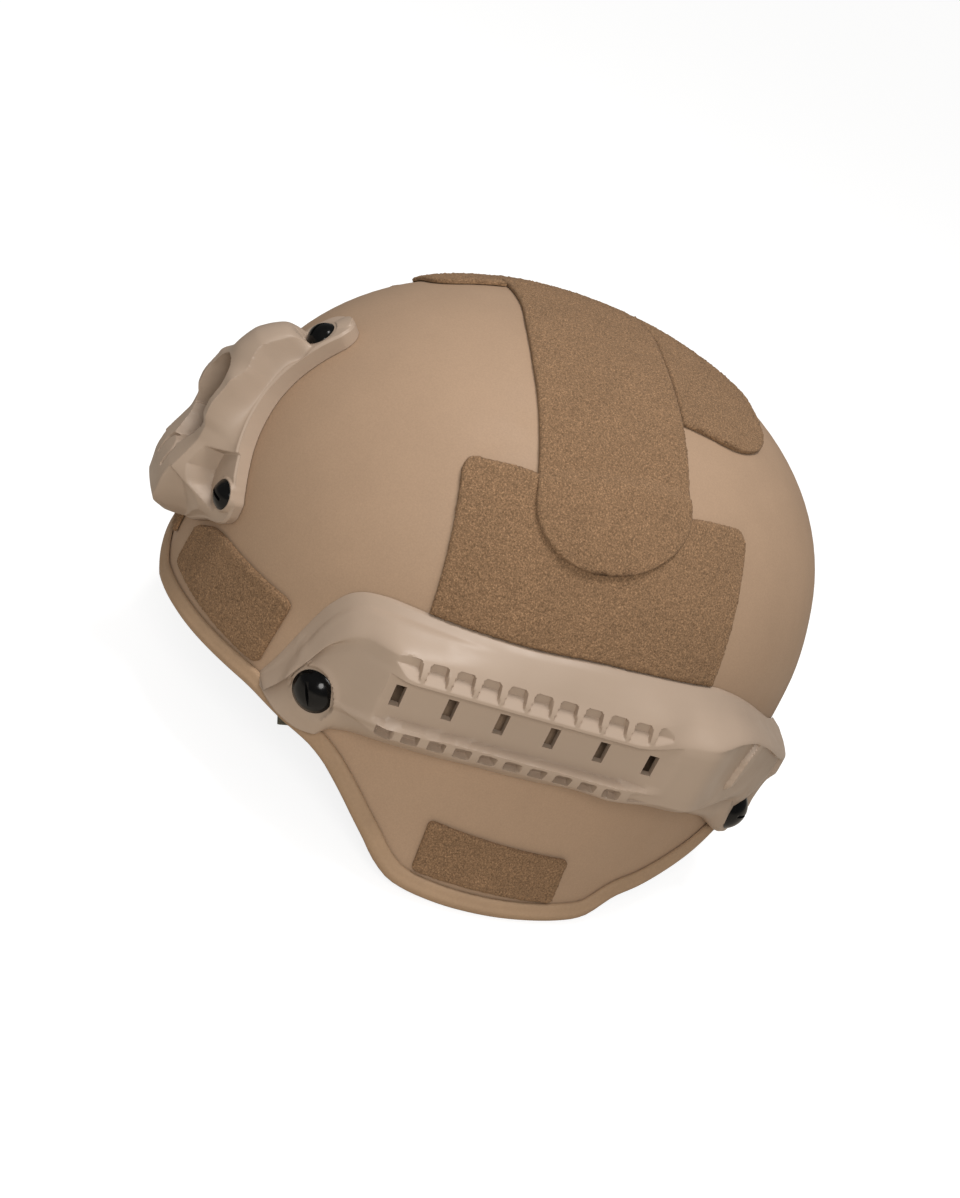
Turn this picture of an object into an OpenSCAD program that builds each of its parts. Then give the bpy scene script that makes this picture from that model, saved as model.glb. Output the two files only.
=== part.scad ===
// Combat helmet: shell with ear covers, edge trim, brow shroud, side rails, loop fastener
// patches, liner pads and a four point chin strap stowed inside the bowl.
// Millimetres, +Z up, the brow faces -Y, the wearer's left is +X, the ear covers stand on z = 0.

/* [Shell] */
// half width of the shell at its widest level
shell_half_w = 122; // [118:1:126]
// length from the widest section forward to the brow
shell_front_l = 131; // [127:1:135]
// length from the widest section back to the nape
shell_rear_l = 135.5; // [131:0.5:140]
// height of the crown of the shell
shell_h = 197.5; // [192:0.5:203]
// height of the widest level
wide_z = 91.5; // [88:0.5:95]
// extra girth at the lowest edge, as a share of the widest girth
flare = 0.076; // [0.05:0.002:0.09]
// wall of the shell
wall = 7; // [6:0.5:8]
// how far the brow swells forward under the shroud
brow_swell = 3; // [2:0.5:4]
// how far the nape swells back under the crown
nape_swell = 3.5; // [2:0.5:4.5]
// height of the rim at the middle of the brow
brow_z = 44.5; // [42:0.5:47]
// height of the rim of the ear covers
cover_z = 3.2; // [3:0.1:4]
// height of the rim at the nape
nape_z = 42; // [39:0.5:45]

/* [Edge trim] */
// height of the trim on the outer face
trim_out_h = 6; // [5:0.5:6.5]
// height of the trim on the inner face
trim_in_h = 5; // [4:0.5:5.5]
// thickness of the trim
trim_t = 2; // [1.6:0.1:2.4]

/* [Brow shroud] */
// height of the upper screw of the shroud
shroud_top_z = 160; // [156:0.5:163]
// height of the lower pair of shroud screws
shroud_low_z = 102; // [99:0.5:105]
// distance of the lower shroud screws from the middle
shroud_low_x = 28; // [26:0.5:30]
// thickness of the shroud plate
shroud_t = 7.5; // [6.5:0.5:8.5]
// height of the latch housing above the shell
latch_h = 24; // [20:0.5:26]
// half width of the mount socket
socket_half_w = 9; // [8:0.5:10]
// wall left behind the mount socket
socket_floor = 3; // [2.4:0.2:4]
// half width of the latch slot
latch_slot_half_w = 3.2; // [2.6:0.2:3.8]

/* [Side rails] */
// angle of the rail channel to the middle plane
rail_angle = 8.5; // [7.5:0.5:9.5]
// distance of the channel floor from the middle plane, at the middle window
rail_x = 128; // [127:0.5:130]
// height of the upper lip of the channel
rail_lip_z = 96.5; // [95:0.5:98]
// clear height of the channel
channel_h = 19.5; // [18:0.5:20.5]
// depth of the channel
channel_d = 4.5; // [3.5:0.5:5]
// wall of the rail moulding
rail_wall = 3; // [2.6:0.1:3.4]
// spacing of the rail notches
notch_pitch = 10; // [9.6:0.1:10.4]
// length of one rail notch
notch_l = 6.4; // [5.6:0.2:7]
// length of one rail window
window_l = 4; // [3.4:0.2:4.6]
// height of one rail window
window_h = 9; // [7.5:0.5:10]
// angle round the shell of the front rail screw, from the side towards the brow
front_screw_a = 44.5; // [43:0.5:46]
// height of the front rail screw
front_screw_z = 67; // [65:0.5:69]
// angle round the shell of the rear rail screw, from the side towards the nape
rear_screw_a = 46; // [44:0.5:48]
// height of the rear rail screw
rear_screw_z = 46.5; // [45:0.5:48]
// thickness of the rail under its screws
rail_pad_t = 8; // [7:0.5:9]

/* [Screws] */
// radius of the rail screw heads
rail_head_r = 8.5; // [7.5:0.5:9]
// height of the rail screw heads
rail_head_h = 4.5; // [3.5:0.5:5]
// radius of the shroud screw heads
shroud_head_r = 6; // [5:0.5:6.5]
// height of the shroud screw heads
shroud_head_h = 3.4; // [2.6:0.2:4]
// radius of the screw shanks
shank_r = 2.5; // [2.2:0.1:2.8]
// radius of the barrel of the rail nuts
barrel_r = 4.6; // [4.3:0.1:5]
// radius of the flange of the nuts
flange_r = 8.5; // [8:0.5:9]

/* [Loop fastener] */
// thickness of the loop fastener
loop_t = 1.8; // [1.4:0.1:2.2]
// half width of the strip across the crown
strip_half_w = 30; // [27:1:32]
// distance from the middle to the tip of the strip across the crown
strip_tip_x = 107.5; // [104:0.5:110]
// distance from the middle to the inner end of a brow patch
brow_loop_in = 10.5; // [9.5:0.5:12]
// outer end of a brow patch as a share of half the shell's width
brow_loop_end = 0.594; // [0.58:0.002:0.61]

/* [Liner] */
// how far a strap slider sits inside the widest part of the shell
slider_in = 55; // [54:0.5:58]
// thickness of the liner pads at their middle
pad_t = 19; // [16:1:22]
// thickness of the liner pads at their edge
pad_edge_t = 11; // [9:1:13]
// radius of the crown pad
crown_pad_r = 60; // [54:1:64]

/* [Chin strap] */
// width of the webbing
web_w = 19; // [17:1:20]
// thickness of the webbing
web_t = 1.6; // [1.2:0.1:1.8]
// thickness of the strap tabs
tab_t = 2.4; // [2:0.1:2.8]
// running clearance of a strap tab on its nut barrel
tab_clear = 0.06; // [0.03:0.01:0.1]
// length of the buckle socket
buckle_l = 30; // [28:1:32]
// width of the buckle
buckle_w = 27; // [25:1:29]
// thickness of the buckle
buckle_t = 8; // [7.5:0.5:9]

/* [Hidden] */
$fn = 48;
mid_y = 5.22;
crown_p = 2.16;
crown_q = 2.31;
cols = 72;
seat = 0.3;
chin_y = -14;
chin_z = 58;

// the smooth form of the shell, measured from the middle of its widest section
function ease(t) = let (u = max(0, min(1, t))) u * u * (3 - 2 * u);
function half_l(y, z) = y < 0
    ? shell_front_l + brow_swell * ease((wide_z - z) / 30)
    : shell_rear_l + nape_swell * ease((wide_z + 34 - z) / 45);
function rise(z) = (z - wide_z) / (shell_h - wide_z);
function girth(z) = z > wide_z
    ? pow(max(0, 1 - pow(min(1, rise(z)), crown_p)), 1 / crown_q)
    : 1 + flare * pow((wide_z - z) / wide_z, 2);
function girth_slope(z) = z > wide_z
    ? -(crown_p / crown_q) * pow(rise(z), crown_p - 1)
        * pow(max(1e-6, 1 - pow(min(1, rise(z)), crown_p)), 1 / crown_q - 1) / (shell_h - wide_z)
    : -2 * flare * (wide_z - z) / pow(wide_z, 2);
function reach(x, y, z) = sqrt(pow(x / shell_half_w, 2) + pow(y / half_l(y, z), 2));
function unit(v) = v / norm(v);
function out_dir(p) = reach(p[0], p[1], p[2]) < 1e-4
    ? [0, 0, 1]
    : unit([p[0] / pow(shell_half_w, 2) / reach(p[0], p[1], p[2]),
            p[1] / pow(half_l(p[1], p[2]), 2) / reach(p[0], p[1], p[2]), -girth_slope(p[2])]);
function lift(p, o) = p + o * out_dir(p) + [0, mid_y, 0];
function plan_r(a, z) = 1 / sqrt(pow(cos(a) / shell_half_w, 2) + pow(sin(a) / half_l(sin(a), z), 2));
function ring_pt(a, z) = plan_r(a, z) * girth(z) * [cos(a), sin(a), 0] + [0, 0, z];
function skin(a, z, o) = lift(ring_pt(a, z), o);
function crown_at(x, y) = wide_z + (shell_h - wide_z)
    * pow(max(0, 1 - pow(min(1, reach(x, y, shell_h)), crown_q)), 1 / crown_p);
function crown_skin(x, y, o) = lift([x, y, crown_at(x, y)], o);
function side_x(y, z) = shell_half_w * sqrt(max(0.01, pow(girth(z), 2) - pow(y / half_l(y, z), 2)));
function side_skin(y, z, o) = lift([side_x(y, z), y, z], o);
function brow_y(x, z) = -half_l(-1, z) * sqrt(max(0.01, pow(girth(z), 2) - pow(x / shell_half_w, 2)));
function brow_skin(x, z, o) = lift([x, brow_y(x, z), z], o);

// the rim, by angle from the side: -90 brow, 0 ear, 90 nape
rim_line = [
    [-90, brow_z], [-76, brow_z + 3.4], [-58, brow_z + 5.6], [-48, brow_z + 2.4], [-43, brow_z + 0.6],
    [-39, brow_z - 3], [-36, brow_z - 7.6], [-33, brow_z - 13], [-30, brow_z - 19], [-27, brow_z - 25],
    [-24, brow_z - 31.5], [-20, cover_z + 4.2], [-15, cover_z + 1.9], [-8, cover_z + 0.5], [0, cover_z],
    [8, cover_z + 0.3], [14, cover_z + 1.2], [17, cover_z + 3], [19.5, cover_z + 7], [22, cover_z + 10.6],
    [27, cover_z + 13.8], [33, cover_z + 18.4], [40, cover_z + 23.6], [47, cover_z + 29],
    [56, nape_z - 5], [68, nape_z - 1.6], [90, nape_z]
];
function fold(a) = a > 90 ? 180 - a : a < -90 ? -180 - a : a;
function rim_z(a) = lookup(fold(a), rim_line);
function rim_slope(a) = (rim_z(a + 1.5) - rim_z(a - 1.5))
    / (plan_r(a, rim_z(a)) * girth(rim_z(a)) * 3 * PI / 180);
function rim_pt(a, up, o) = skin(
    a - up * rim_slope(a) / sqrt(1 + pow(rim_slope(a), 2))
        / (plan_r(a, rim_z(a)) * girth(rim_z(a))) * 180 / PI,
    rim_z(a) + up / sqrt(1 + pow(rim_slope(a), 2)), o);

// closed solids from grids of points
function flat(rows) = [for (r = rows) each r];
function pair(a, b, c, d) = [[a, c, b], [a, d, c]];

module slab(outer, inner) {
    n = len(outer);
    m = len(outer[0]);
    k = n * m;
    polyhedron(points = concat(flat(outer), flat(inner)), faces = concat(
        [for (i = [0:n - 2], j = [0:m - 2])
            each pair(i * m + j, (i + 1) * m + j, (i + 1) * m + j + 1, i * m + j + 1)],
        [for (i = [0:n - 2], j = [0:m - 2])
            each pair(k + i * m + j, k + i * m + j + 1, k + (i + 1) * m + j + 1, k + (i + 1) * m + j)],
        [for (i = [0:n - 2]) each pair(k + i * m, k + (i + 1) * m, (i + 1) * m, i * m)],
        [for (i = [0:n - 2]) each pair(i * m + m - 1, (i + 1) * m + m - 1,
            k + (i + 1) * m + m - 1, k + i * m + m - 1)],
        [for (j = [0:m - 2]) each pair(j, j + 1, k + j + 1, k + j)],
        [for (j = [0:m - 2]) each pair(k + (n - 1) * m + j, k + (n - 1) * m + j + 1,
            (n - 1) * m + j + 1, (n - 1) * m + j)]));
}

module hoop(rows) {
    n = len(rows);
    m = len(rows[0]);
    polyhedron(points = flat(rows), faces = [for (i = [0:n - 1], j = [0:m - 1])
        each pair(i * m + j, ((i + 1) % n) * m + j, ((i + 1) % n) * m + (j + 1) % m, i * m + (j + 1) % m)]);
}

// a tool frame on the shell: local +Z points straight out at angle a and height z
function out_az(p) = atan2(out_dir(p)[1], out_dir(p)[0]);
function out_el(p) = asin(out_dir(p)[2]);
module on_skin(p) {
    translate(p + [0, mid_y, 0]) rotate([0, 90 - out_el(p), out_az(p)]) children();
}
front_screw = ring_pt(-front_screw_a, front_screw_z);
rear_screw = ring_pt(rear_screw_a, rear_screw_z);
top_screw = [0, brow_y(0, shroud_top_z), shroud_top_z];
low_screw = [shroud_low_x, brow_y(shroud_low_x, shroud_low_z), shroud_low_z];
module left_right() {
    children();
    mirror([1, 0, 0]) children();
}
module at_rail_screws() {
    left_right() {
        on_skin(front_screw) children();
        on_skin(rear_screw) children();
    }
}
module at_shroud_screws() {
    on_skin(top_screw) children();
    left_right() on_skin(low_screw) children();
}

// shell
low_rows = 5;
high_rows = 9;
function row_z(a, j) = j < low_rows
    ? rim_z(a) + (wide_z - rim_z(a)) * j / low_rows
    : wide_z + (shell_h - wide_z) * sin(90 * (j - low_rows) / high_rows);
module bowl() {
    m = low_rows + high_rows;
    k = cols * m;
    outer = [for (i = [0:cols - 1]) [for (j = [0:m - 1])
        skin(360 * i / cols - 180, row_z(360 * i / cols - 180, j), 0)]];
    inner = [for (i = [0:cols - 1]) [for (j = [0:m - 1])
        skin(360 * i / cols - 180, row_z(360 * i / cols - 180, j), -wall)]];
    poles = [[0, mid_y, shell_h], [0, mid_y, shell_h - wall]];
    polyhedron(points = concat(flat(outer), flat(inner), poles), faces = concat(
        [for (i = [0:cols - 1], j = [0:m - 2]) each pair(i * m + j, ((i + 1) % cols) * m + j,
            ((i + 1) % cols) * m + j + 1, i * m + j + 1)],
        [for (i = [0:cols - 1], j = [0:m - 2]) each pair(k + i * m + j, k + i * m + j + 1,
            k + ((i + 1) % cols) * m + j + 1, k + ((i + 1) % cols) * m + j)],
        [for (i = [0:cols - 1]) [i * m + m - 1, 2 * k, ((i + 1) % cols) * m + m - 1]],
        [for (i = [0:cols - 1]) [k + i * m + m - 1, k + ((i + 1) % cols) * m + m - 1, 2 * k + 1]],
        [for (i = [0:cols - 1]) each pair(k + i * m, k + ((i + 1) % cols) * m,
            ((i + 1) % cols) * m, i * m)]));
}
module shell() {
    color("tan") difference() {
        bowl();
        at_rail_screws() translate([0, 0, -wall - 6]) cylinder(r = barrel_r + 0.2, h = wall + 9);
        at_shroud_screws() translate([0, 0, -wall - 6]) cylinder(r = barrel_r + 0.2, h = wall + 9);
    }
}

// edge trim
module edge_trim() {
    gap_in = wall + seat + 0.15;
    section = [
        [trim_out_h, seat], [trim_out_h - 0.4, trim_t], [trim_out_h * 0.4, trim_t + 0.5],
        [-0.8, trim_t + 0.1], [-trim_t, -0.4], [-trim_t, -wall * 0.85], [-1, -gap_in - trim_t * 0.6],
        [trim_in_h, -gap_in - trim_t * 0.65], [trim_in_h, -gap_in], [-0.25, -gap_in], [-0.25, seat]
    ];
    color("peru") hoop([for (i = [0:cols - 1]) [for (j = [len(section) - 1:-1:0])
        rim_pt(360 * i / cols - 180, section[j][0], section[j][1])]]);
}

// brow shroud
shroud_line = [
    [76, 6], [79, 10.5], [83, 16], [86.5, 22], [89.5, 28.5], [93, 33.5], [97, 36], [101.5, 36.3], [106, 34],
    [113, 29.5], [121, 24], [131, 18.3], [140, 14], [150, 11], [158, 9.6], [164, 9.2], [167, 6.5], [169, 3.5]
];
latch_line = [
    [76, 0.58], [78, 0.7], [82, 0.9], [86.4, 0.98], [93, 0.98], [99.3, 0.93], [104, 0.84], [108, 0.76],
    [113, 0.68], [116, 0.66], [118, 0.71], [120.5, 0.82], [124.3, 0.82], [135, 0.765], [143.2, 0.77],
    [148, 0.72], [151.5, 0.6], [154.5, 0.36], [169, 0.3]
];
latch_width = [[76, 4.5], [83, 9], [92, 12.5], [104, 13], [113, 12.5], [131, 11.5], [145, 9.5],
    [155, 7], [169, 2]];
function shroud_w(z) = lookup(z, shroud_line);
function latch_w(z) = min(lookup(z, latch_width), shroud_w(z) - 2);
function shroud_col(z, s) = sign(s) * (
    abs(s) == 4 ? shroud_w(z)
    : abs(s) == 3 ? (shroud_w(z) + min(latch_w(z) + 4, shroud_w(z) - 1)) / 2
    : abs(s) == 2 ? min(latch_w(z) + 4, shroud_w(z) - 1)
    : latch_w(z));
function shroud_off(z, s) = abs(s) <= 1
    ? max(shroud_t, latch_h * lookup(z, latch_line))
    : abs(s) == 4 ? shroud_t - 1.5 : shroud_t;
module brow_shroud() {
    rows = [76, 77.5, 79.5, 82, 84.5, 87, 89.5, 93, 97, 101, 105, 109, 113, 116, 118, 120.5, 125, 131, 137,
        143, 147.5, 151, 153, 155, 158, 161, 164, 166, 167.5, 168.4, 169];
    span = [-4, -3, -2, -1, 0, 1, 2, 3, 4];
    outer = [for (s = span) [for (z = rows) brow_skin(shroud_col(z, s), z, shroud_off(z, s))]];
    inner = [for (s = span) [for (z = rows) brow_skin(shroud_col(z, s), z, seat)]];
    color("burlywood") difference() {
        slab(outer, inner);
        // socket for the foot of a sight mount, open to the front
        translate([-socket_half_w, mid_y + brow_y(0, 118) - 40, 119])
            cube([2 * socket_half_w, 40 - socket_floor - seat, 25]);
        // latch slot in the top of the housing
        translate([-latch_slot_half_w, mid_y + brow_y(0, 112) - 40, 105])
            cube([2 * latch_slot_half_w, 40 - 14, 14.5]);
        at_shroud_screws() translate([0, 0, shroud_t - 1.2]) cylinder(r = shroud_head_r + 0.4, h = 14);
        at_shroud_screws() translate([0, 0, -3]) cylinder(r = shank_r + 0.2, h = 16);
    }
}

// screws and nuts
module dome(r, h) {
    intersection() {
        translate([0, 0, h - (r * r + h * h) / (2 * h)]) sphere(r = (r * r + h * h) / (2 * h));
        cylinder(r = r, h = h + 1);
    }
}
module screw(r, h, seat_h) {
    difference() {
        union() {
            translate([0, 0, seat_h]) dome(r, h);
            translate([0, 0, -wall - 1.8]) cylinder(r = shank_r, h = wall + 1.9 + seat_h);
        }
        translate([-r, -0.6, seat_h + h - 1.2]) cube([2 * r, 1.2, 3]);
    }
}
module tee_nut(stand) {
    difference() {
        union() {
            translate([0, 0, -wall - stand]) cylinder(r = barrel_r, h = wall + stand - 2);
            translate([0, 0, -wall - stand - 1.2]) cylinder(r = flange_r, h = 1.2);
        }
        translate([0, 0, -wall - stand - 3]) cylinder(r = shank_r + 0.05, h = wall + stand + 4);
    }
}
tab_back = 3.2;
nut_stand = tab_back + tab_t + 0.3;
module shroud_screws() {
    color("black") at_shroud_screws() screw(shroud_head_r, shroud_head_h, shroud_t - 1.1);
}
module shroud_nuts() {
    color("silver") at_shroud_screws() tee_nut(0.9);
}
module rail_screws() {
    color("black") at_rail_screws() screw(rail_head_r, rail_head_h, rail_pad_t + 0.1);
}
module rail_nuts() {
    color("silver") at_rail_screws() tee_nut(nut_stand);
}

// side rails
rail_top = [
    [-108, 66], [-105.5, 76], [-102, 86], [-98, 94], [-95, 101], [-91, 106], [-86, 109.5], [-78, 112],
    [-60, 114], [-30, 116.2], [-5, 117.8], [15, 117], [35, 115], [50, 113], [60, 110], [75, 103],
    [90, 93], [100, 86], [110, 79], [117, 72]
];
rail_low = [
    [-108, 54], [-104, 50.5], [-96, 49], [-90, 50.5], [-84, 54], [-78, 56.4], [-66, 58.8], [-50, 61.2],
    [-30, 63.4], [0, 63.6], [20, 61.6], [44, 57.4], [62, 52.6], [78, 45], [88, 37], [98, 33.5], [110, 34.5],
    [117, 38]
];
// share of the channel lips, none over the screws
lip_share = [[-85, 0], [-74, 1], [17, 1], [40, 0]];
// how far the face may stand off the shell, in x
stand_off = [[-108, 9], [-98, 11], [-88, 13], [-80, 18], [-74, 24], [46, 24], [62, 21], [76, 18], [90, 16.5],
    [104, 18], [117, 19.5]];
// how far the top edge curls off the shell, and the seat over the edge trim, along the rail
curl = [[-108, 2.4], [92, 2.4], [102, 3.6], [110, 6], [117, 8.5]];
over_trim = [[-108, 3.2], [-90, 3.2], [-84, 0.3], [84, 0.3], [92, 3.2], [117, 3.2]];
function floor_x(y) = rail_x + (y + 24) * tan(rail_angle);
function face_x(y, z) = min(floor_x(y), side_x(y, z) + lookup(y, stand_off));
function lip_x(y, z) = face_x(y, z) + channel_d * lookup(y, lip_share);
rail_ledge_z = rail_lip_z - channel_h;
function top_gap(y) = lookup(y, rail_top);
function low_gap(y) = lookup(y, rail_low);
rail_levels = [
    0, 3, rail_ledge_z - 3, rail_ledge_z + 1, rail_lip_z - 1, rail_lip_z + 2.4, rail_lip_z + 9, 200, 210
];
// keeps the levels of one section in order where the rail gets low
function level(y, k) = let (l = low_gap(y), h = top_gap(y) - low_gap(y))
    max(l + h * 0.075 * k, min(l + h * (1 - 0.075 * (8 - k)), rail_levels[k]));
function rail_rows(y) = [for (k = [0:8]) k == 0 ? low_gap(y) : k == 8 ? top_gap(y)
    : k == 1 ? low_gap(y) + 1.4 : k == 7 ? top_gap(y) - 1.6 : level(y, k)];
function rail_face(y) = let (z = rail_rows(y)) [
    side_skin(y, z[0], lookup(y, over_trim) + 2.4), side_skin(y, z[1], lookup(y, over_trim) + 3.8),
    [lip_x(y, z[2]) - 0.8, y + mid_y, z[2]], [lip_x(y, z[3]), y + mid_y, z[3]],
    [lip_x(y, z[4]), y + mid_y, z[4]], [lip_x(y, z[5]) - 0.6, y + mid_y, z[5]],
    ([lip_x(y, z[5]) - 0.6, y + mid_y, z[6]] + side_skin(y, z[6], 3)) / 2 + [1.2, 0, 0],
    side_skin(y, z[7], lookup(y, curl) + 0.8), side_skin(y, z[8], lookup(y, curl))
];
function rail_back_x(y, z, x) =
    max(side_x(y, z) + seat * 1.8, x - rail_wall - channel_d * lookup(y, lip_share));
function rail_back(y) = let (z = rail_rows(y), f = rail_face(y)) [
    side_skin(y, z[0], lookup(y, over_trim)), side_skin(y, z[1], lookup(y, over_trim)),
    [rail_back_x(y, z[2], f[2][0]), y + mid_y, z[2]], [rail_back_x(y, z[3], f[3][0]), y + mid_y, z[3]],
    [rail_back_x(y, z[4], f[4][0]), y + mid_y, z[4]], [rail_back_x(y, z[5], f[5][0]), y + mid_y, z[5]],
    side_skin(y, z[6], seat), side_skin(y, z[7], seat), side_skin(y, z[8], seat)
];
rail_stations = [-108, -105.5, -102, -98, -95, -91, -87, -84, -80, -76, -68, -58, -46, -34, -22, -10, 2, 14, 26, 38,
    46, 52, 58, 66, 75, 84, 92, 100, 106, 112, 117];
// local x runs back along the channel from the first window, local y points out of the channel
module on_rail() {
    translate([rail_x, -24 + mid_y, 0]) rotate([0, 0, 90 - rail_angle]) mirror([0, 1, 0])
        translate([-2.5 * 2 * notch_pitch, 0, 0]) children();
}
module left_rail() {
    color("wheat") difference() {
        union() {
            slab([for (y = rail_stations) rail_face(y)], [for (y = rail_stations) rail_back(y)]);
            on_skin(front_screw) translate([0, 0, 1]) cylinder(r = rail_head_r + 2.5, h = rail_pad_t - 1);
            on_skin(rear_screw) translate([0, 0, 3.6]) cylinder(r = rail_head_r + 2.5, h = rail_pad_t - 3.6);
        }
        on_rail() {
            translate([-20, 0, rail_ledge_z]) cube([144, 12, channel_h]);
            for (i = [0:5]) translate([2 * notch_pitch * i - window_l / 2, -9, rail_lip_z - 4 - window_h])
                cube([window_l, 12, window_h]);
            for (i = [0:10]) translate([notch_pitch * i - notch_l / 2, 0.8, rail_lip_z + 1.5])
                cube([notch_l, 12, 7]);
            for (i = [0:9]) translate([notch_pitch * i - notch_l / 2, 0.6, rail_ledge_z - 8.6])
                cube([notch_l, 9, 5]);
            translate([notch_pitch * 10 - notch_l / 2, 0.6, rail_ledge_z - 8.6]) cube([2.6 * notch_l, 9, 5]);
        }
        on_skin(front_screw) translate([0, 0, rail_pad_t]) cylinder(r = rail_head_r + 1, h = 14);
        on_skin(rear_screw) translate([0, 0, rail_pad_t]) cylinder(r = rail_head_r + 1, h = 14);
        // pocket under the curled rear corner, open to the back
        on_skin(ring_pt(rear_screw_a + 5, rear_screw_z + 19)) translate([-8, -4, 2.6]) cube([14, 22, 5.2]);
        on_skin(front_screw) translate([0, 0, -3]) cylinder(r = shank_r + 0.2, h = 20);
        on_skin(rear_screw) translate([0, 0, -3]) cylinder(r = shank_r + 0.2, h = 20);
    }
}
module right_rail() {
    mirror([1, 0, 0]) left_rail();
}

// loop fastener patches
function arc_half(d, r) = d >= r ? 1 : sqrt(max(0.04, 1 - pow((r - d) / r, 2)));
strip_line = [[-110, -2], [-45, -2.5], [-10, -5], [15, -8.7], [43, -11], [110, -11.8]];
function strip_mid(x) = lookup(x, strip_line);
strip_lap = [[-112, 2.1], [-81, 2.1], [-75, 0], [75, 0], [81, 2.1], [112, 2.1]];
loop_seat = 0.4;
module crown_loop() {
    tip_r = 18;
    half = [for (x = [0, 10, 20, 30, 40, 50, 60, 68, 72, 75, 78, 81, 86, 91, 94.5, 97.5, 101, 104, 106.3,
        107.9, 108.7, 109])
        x * strip_tip_x / 109];
    xs = concat([for (i = [len(half) - 1:-1:1]) -half[i]], half);
    ws = [for (x = xs) strip_half_w * arc_half(strip_tip_x - abs(x), tip_r)];
    span = [-1, -0.66, -0.33, 0, 0.33, 0.66, 1];
    o = loop_seat;
    color("sienna") slab(
        [for (i = [0:len(xs) - 1]) [for (s = span)
            crown_skin(xs[i], strip_mid(xs[i]) + s * ws[i], o + loop_t + lookup(xs[i], strip_lap)
                - (abs(s) == 1 ? 0.3 : 0))]],
        [for (i = [0:len(xs) - 1]) [for (s = span)
            crown_skin(xs[i], strip_mid(xs[i]) + s * ws[i], o + lookup(xs[i], strip_lap))]]);
}
module lobe(x0, x1, gap, depth, r, side) {
    xs = [for (t = [0, 0.03, 0.08, 0.16, 0.27, 0.4, 0.5, 0.6, 0.73, 0.84, 0.92, 0.97, 1]) x0 + (x1 - x0) * t];
    span = [0, 0.25, 0.5, 0.75, 1];
    function near_y(x) = strip_mid(x) + side * (strip_half_w + gap);
    function turn(x) = arc_half(min(x - x0, x1 - x) + 0.05, r);
    function at_y(x, s) = near_y(x) + side * s * (depth - r * (1 - turn(x)));
    outer = [for (x = xs) [for (s = span) crown_skin(x, at_y(x, s), loop_seat + loop_t)]];
    inner = [for (x = xs) [for (s = span) crown_skin(x, at_y(x, s), loop_seat)]];
    color("sienna") if (side > 0) slab(outer, inner);
    else slab(inner, outer);
}
module crown_rear_loop() {
    lobe(-54, 54, 0.6, 49, 30, 1);
}
module crown_right_loop() {
    lobe(-71, -34, 0.6, 29, 10, -1);
}
module side_loop() {
    ys = [-67, -65.5, -62, -55, -46, -35, -24, -14, -4, 6, 16, 26, 36, 42.5, 46, 47.5];
    line = [[-67, 163.5], [-42, 167.5], [20, 168], [44, 166], [47.5, 165]];
    function high_z(y) = lookup(y, line) - 5 * (1 - arc_half(min(y + 67.1, 47.6 - y), 5));
    function low_z(y) = lookup(y, rail_top) + 1.2;
    color("sienna") slab(
        [for (y = ys) [for (s = [0, 0.2, 0.4, 0.6, 0.8, 1])
            side_skin(y, low_z(y) + (high_z(y) - low_z(y)) * s, loop_seat + loop_t)]],
        [for (y = ys) [for (s = [0, 0.2, 0.4, 0.6, 0.8, 1])
            side_skin(y, low_z(y) + (high_z(y) - low_z(y)) * s, loop_seat)]]);
}
module left_side_loop() {
    side_loop();
}
module right_side_loop() {
    mirror([1, 0, 0]) side_loop();
}
module ear_loop() {
    ys = [-40, -39, -37, -30, -20, -10, 0, 10, 18, 19.2, 20];
    function turn(y) = 1 - arc_half(min(y + 40.2, 20.2 - y), 2.5);
    function low_z(y) = cover_z + trim_out_h + 2 - y * 0.05 + 2 * turn(y);
    function at_z(y, s) = low_z(y) + (32 - y * 0.09 - 2 * turn(y) - low_z(y)) * s;
    color("sienna") slab(
        [for (y = ys) [for (s = [0, 0.25, 0.5, 0.75, 1]) side_skin(y, at_z(y, s), loop_seat + loop_t)]],
        [for (y = ys) [for (s = [0, 0.25, 0.5, 0.75, 1]) side_skin(y, at_z(y, s), loop_seat)]]);
}
module left_ear_loop() {
    ear_loop();
}
module right_ear_loop() {
    mirror([1, 0, 0]) ear_loop();
}
module brow_loop() {
    x0 = brow_loop_in;
    x1 = shell_half_w * brow_loop_end;
    shares = [0, 0.016, 0.048, 0.105, 0.19, 0.31, 0.44, 0.57, 0.7, 0.83, 0.93, 0.976, 1];
    xs = [for (t = shares) x0 + (x1 - x0) * t];
    function turn(x) = arc_half(min(x - x0, x1 - x) + 0.2, 4);
    high = [[0, 75.6], [9, 76], [15, 79.5], [24, 84.5], [33, 86.5], [74, 88]];
    function high_z(x) = min(88, lookup(x, high));
    function low_z(x) = 58;
    color("sienna") slab(
        [for (x = xs) [for (s = [0, 0.25, 0.5, 0.75, 1])
            brow_skin(x, low_z(x) + 3 * (1 - turn(x)) + (high_z(x) - low_z(x) - 6 * (1 - turn(x))) * s,
                loop_seat + loop_t)]],
        [for (x = xs) [for (s = [0, 0.25, 0.5, 0.75, 1])
            brow_skin(x, low_z(x) + 3 * (1 - turn(x)) + (high_z(x) - low_z(x) - 6 * (1 - turn(x))) * s,
                loop_seat)]]);
}
module left_brow_loop() {
    brow_loop();
}
module right_brow_loop() {
    mirror([1, 0, 0]) brow_loop();
}

// liner: hook squares on the wall, pads with a crowned face
hook_back = wall + 0.6;
hook_t = 1.5;
pad_back = hook_back + hook_t + 0.3;
function cushion(u, v) = pad_edge_t + (pad_t - pad_edge_t)
    * pow(max(0, 1 - pow(abs(u), 2.6)), 0.5) * pow(max(0, 1 - pow(abs(v), 2.6)), 0.5);
steps = [-1, -0.86, -0.6, -0.3, 0, 0.3, 0.6, 0.86, 1];
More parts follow.
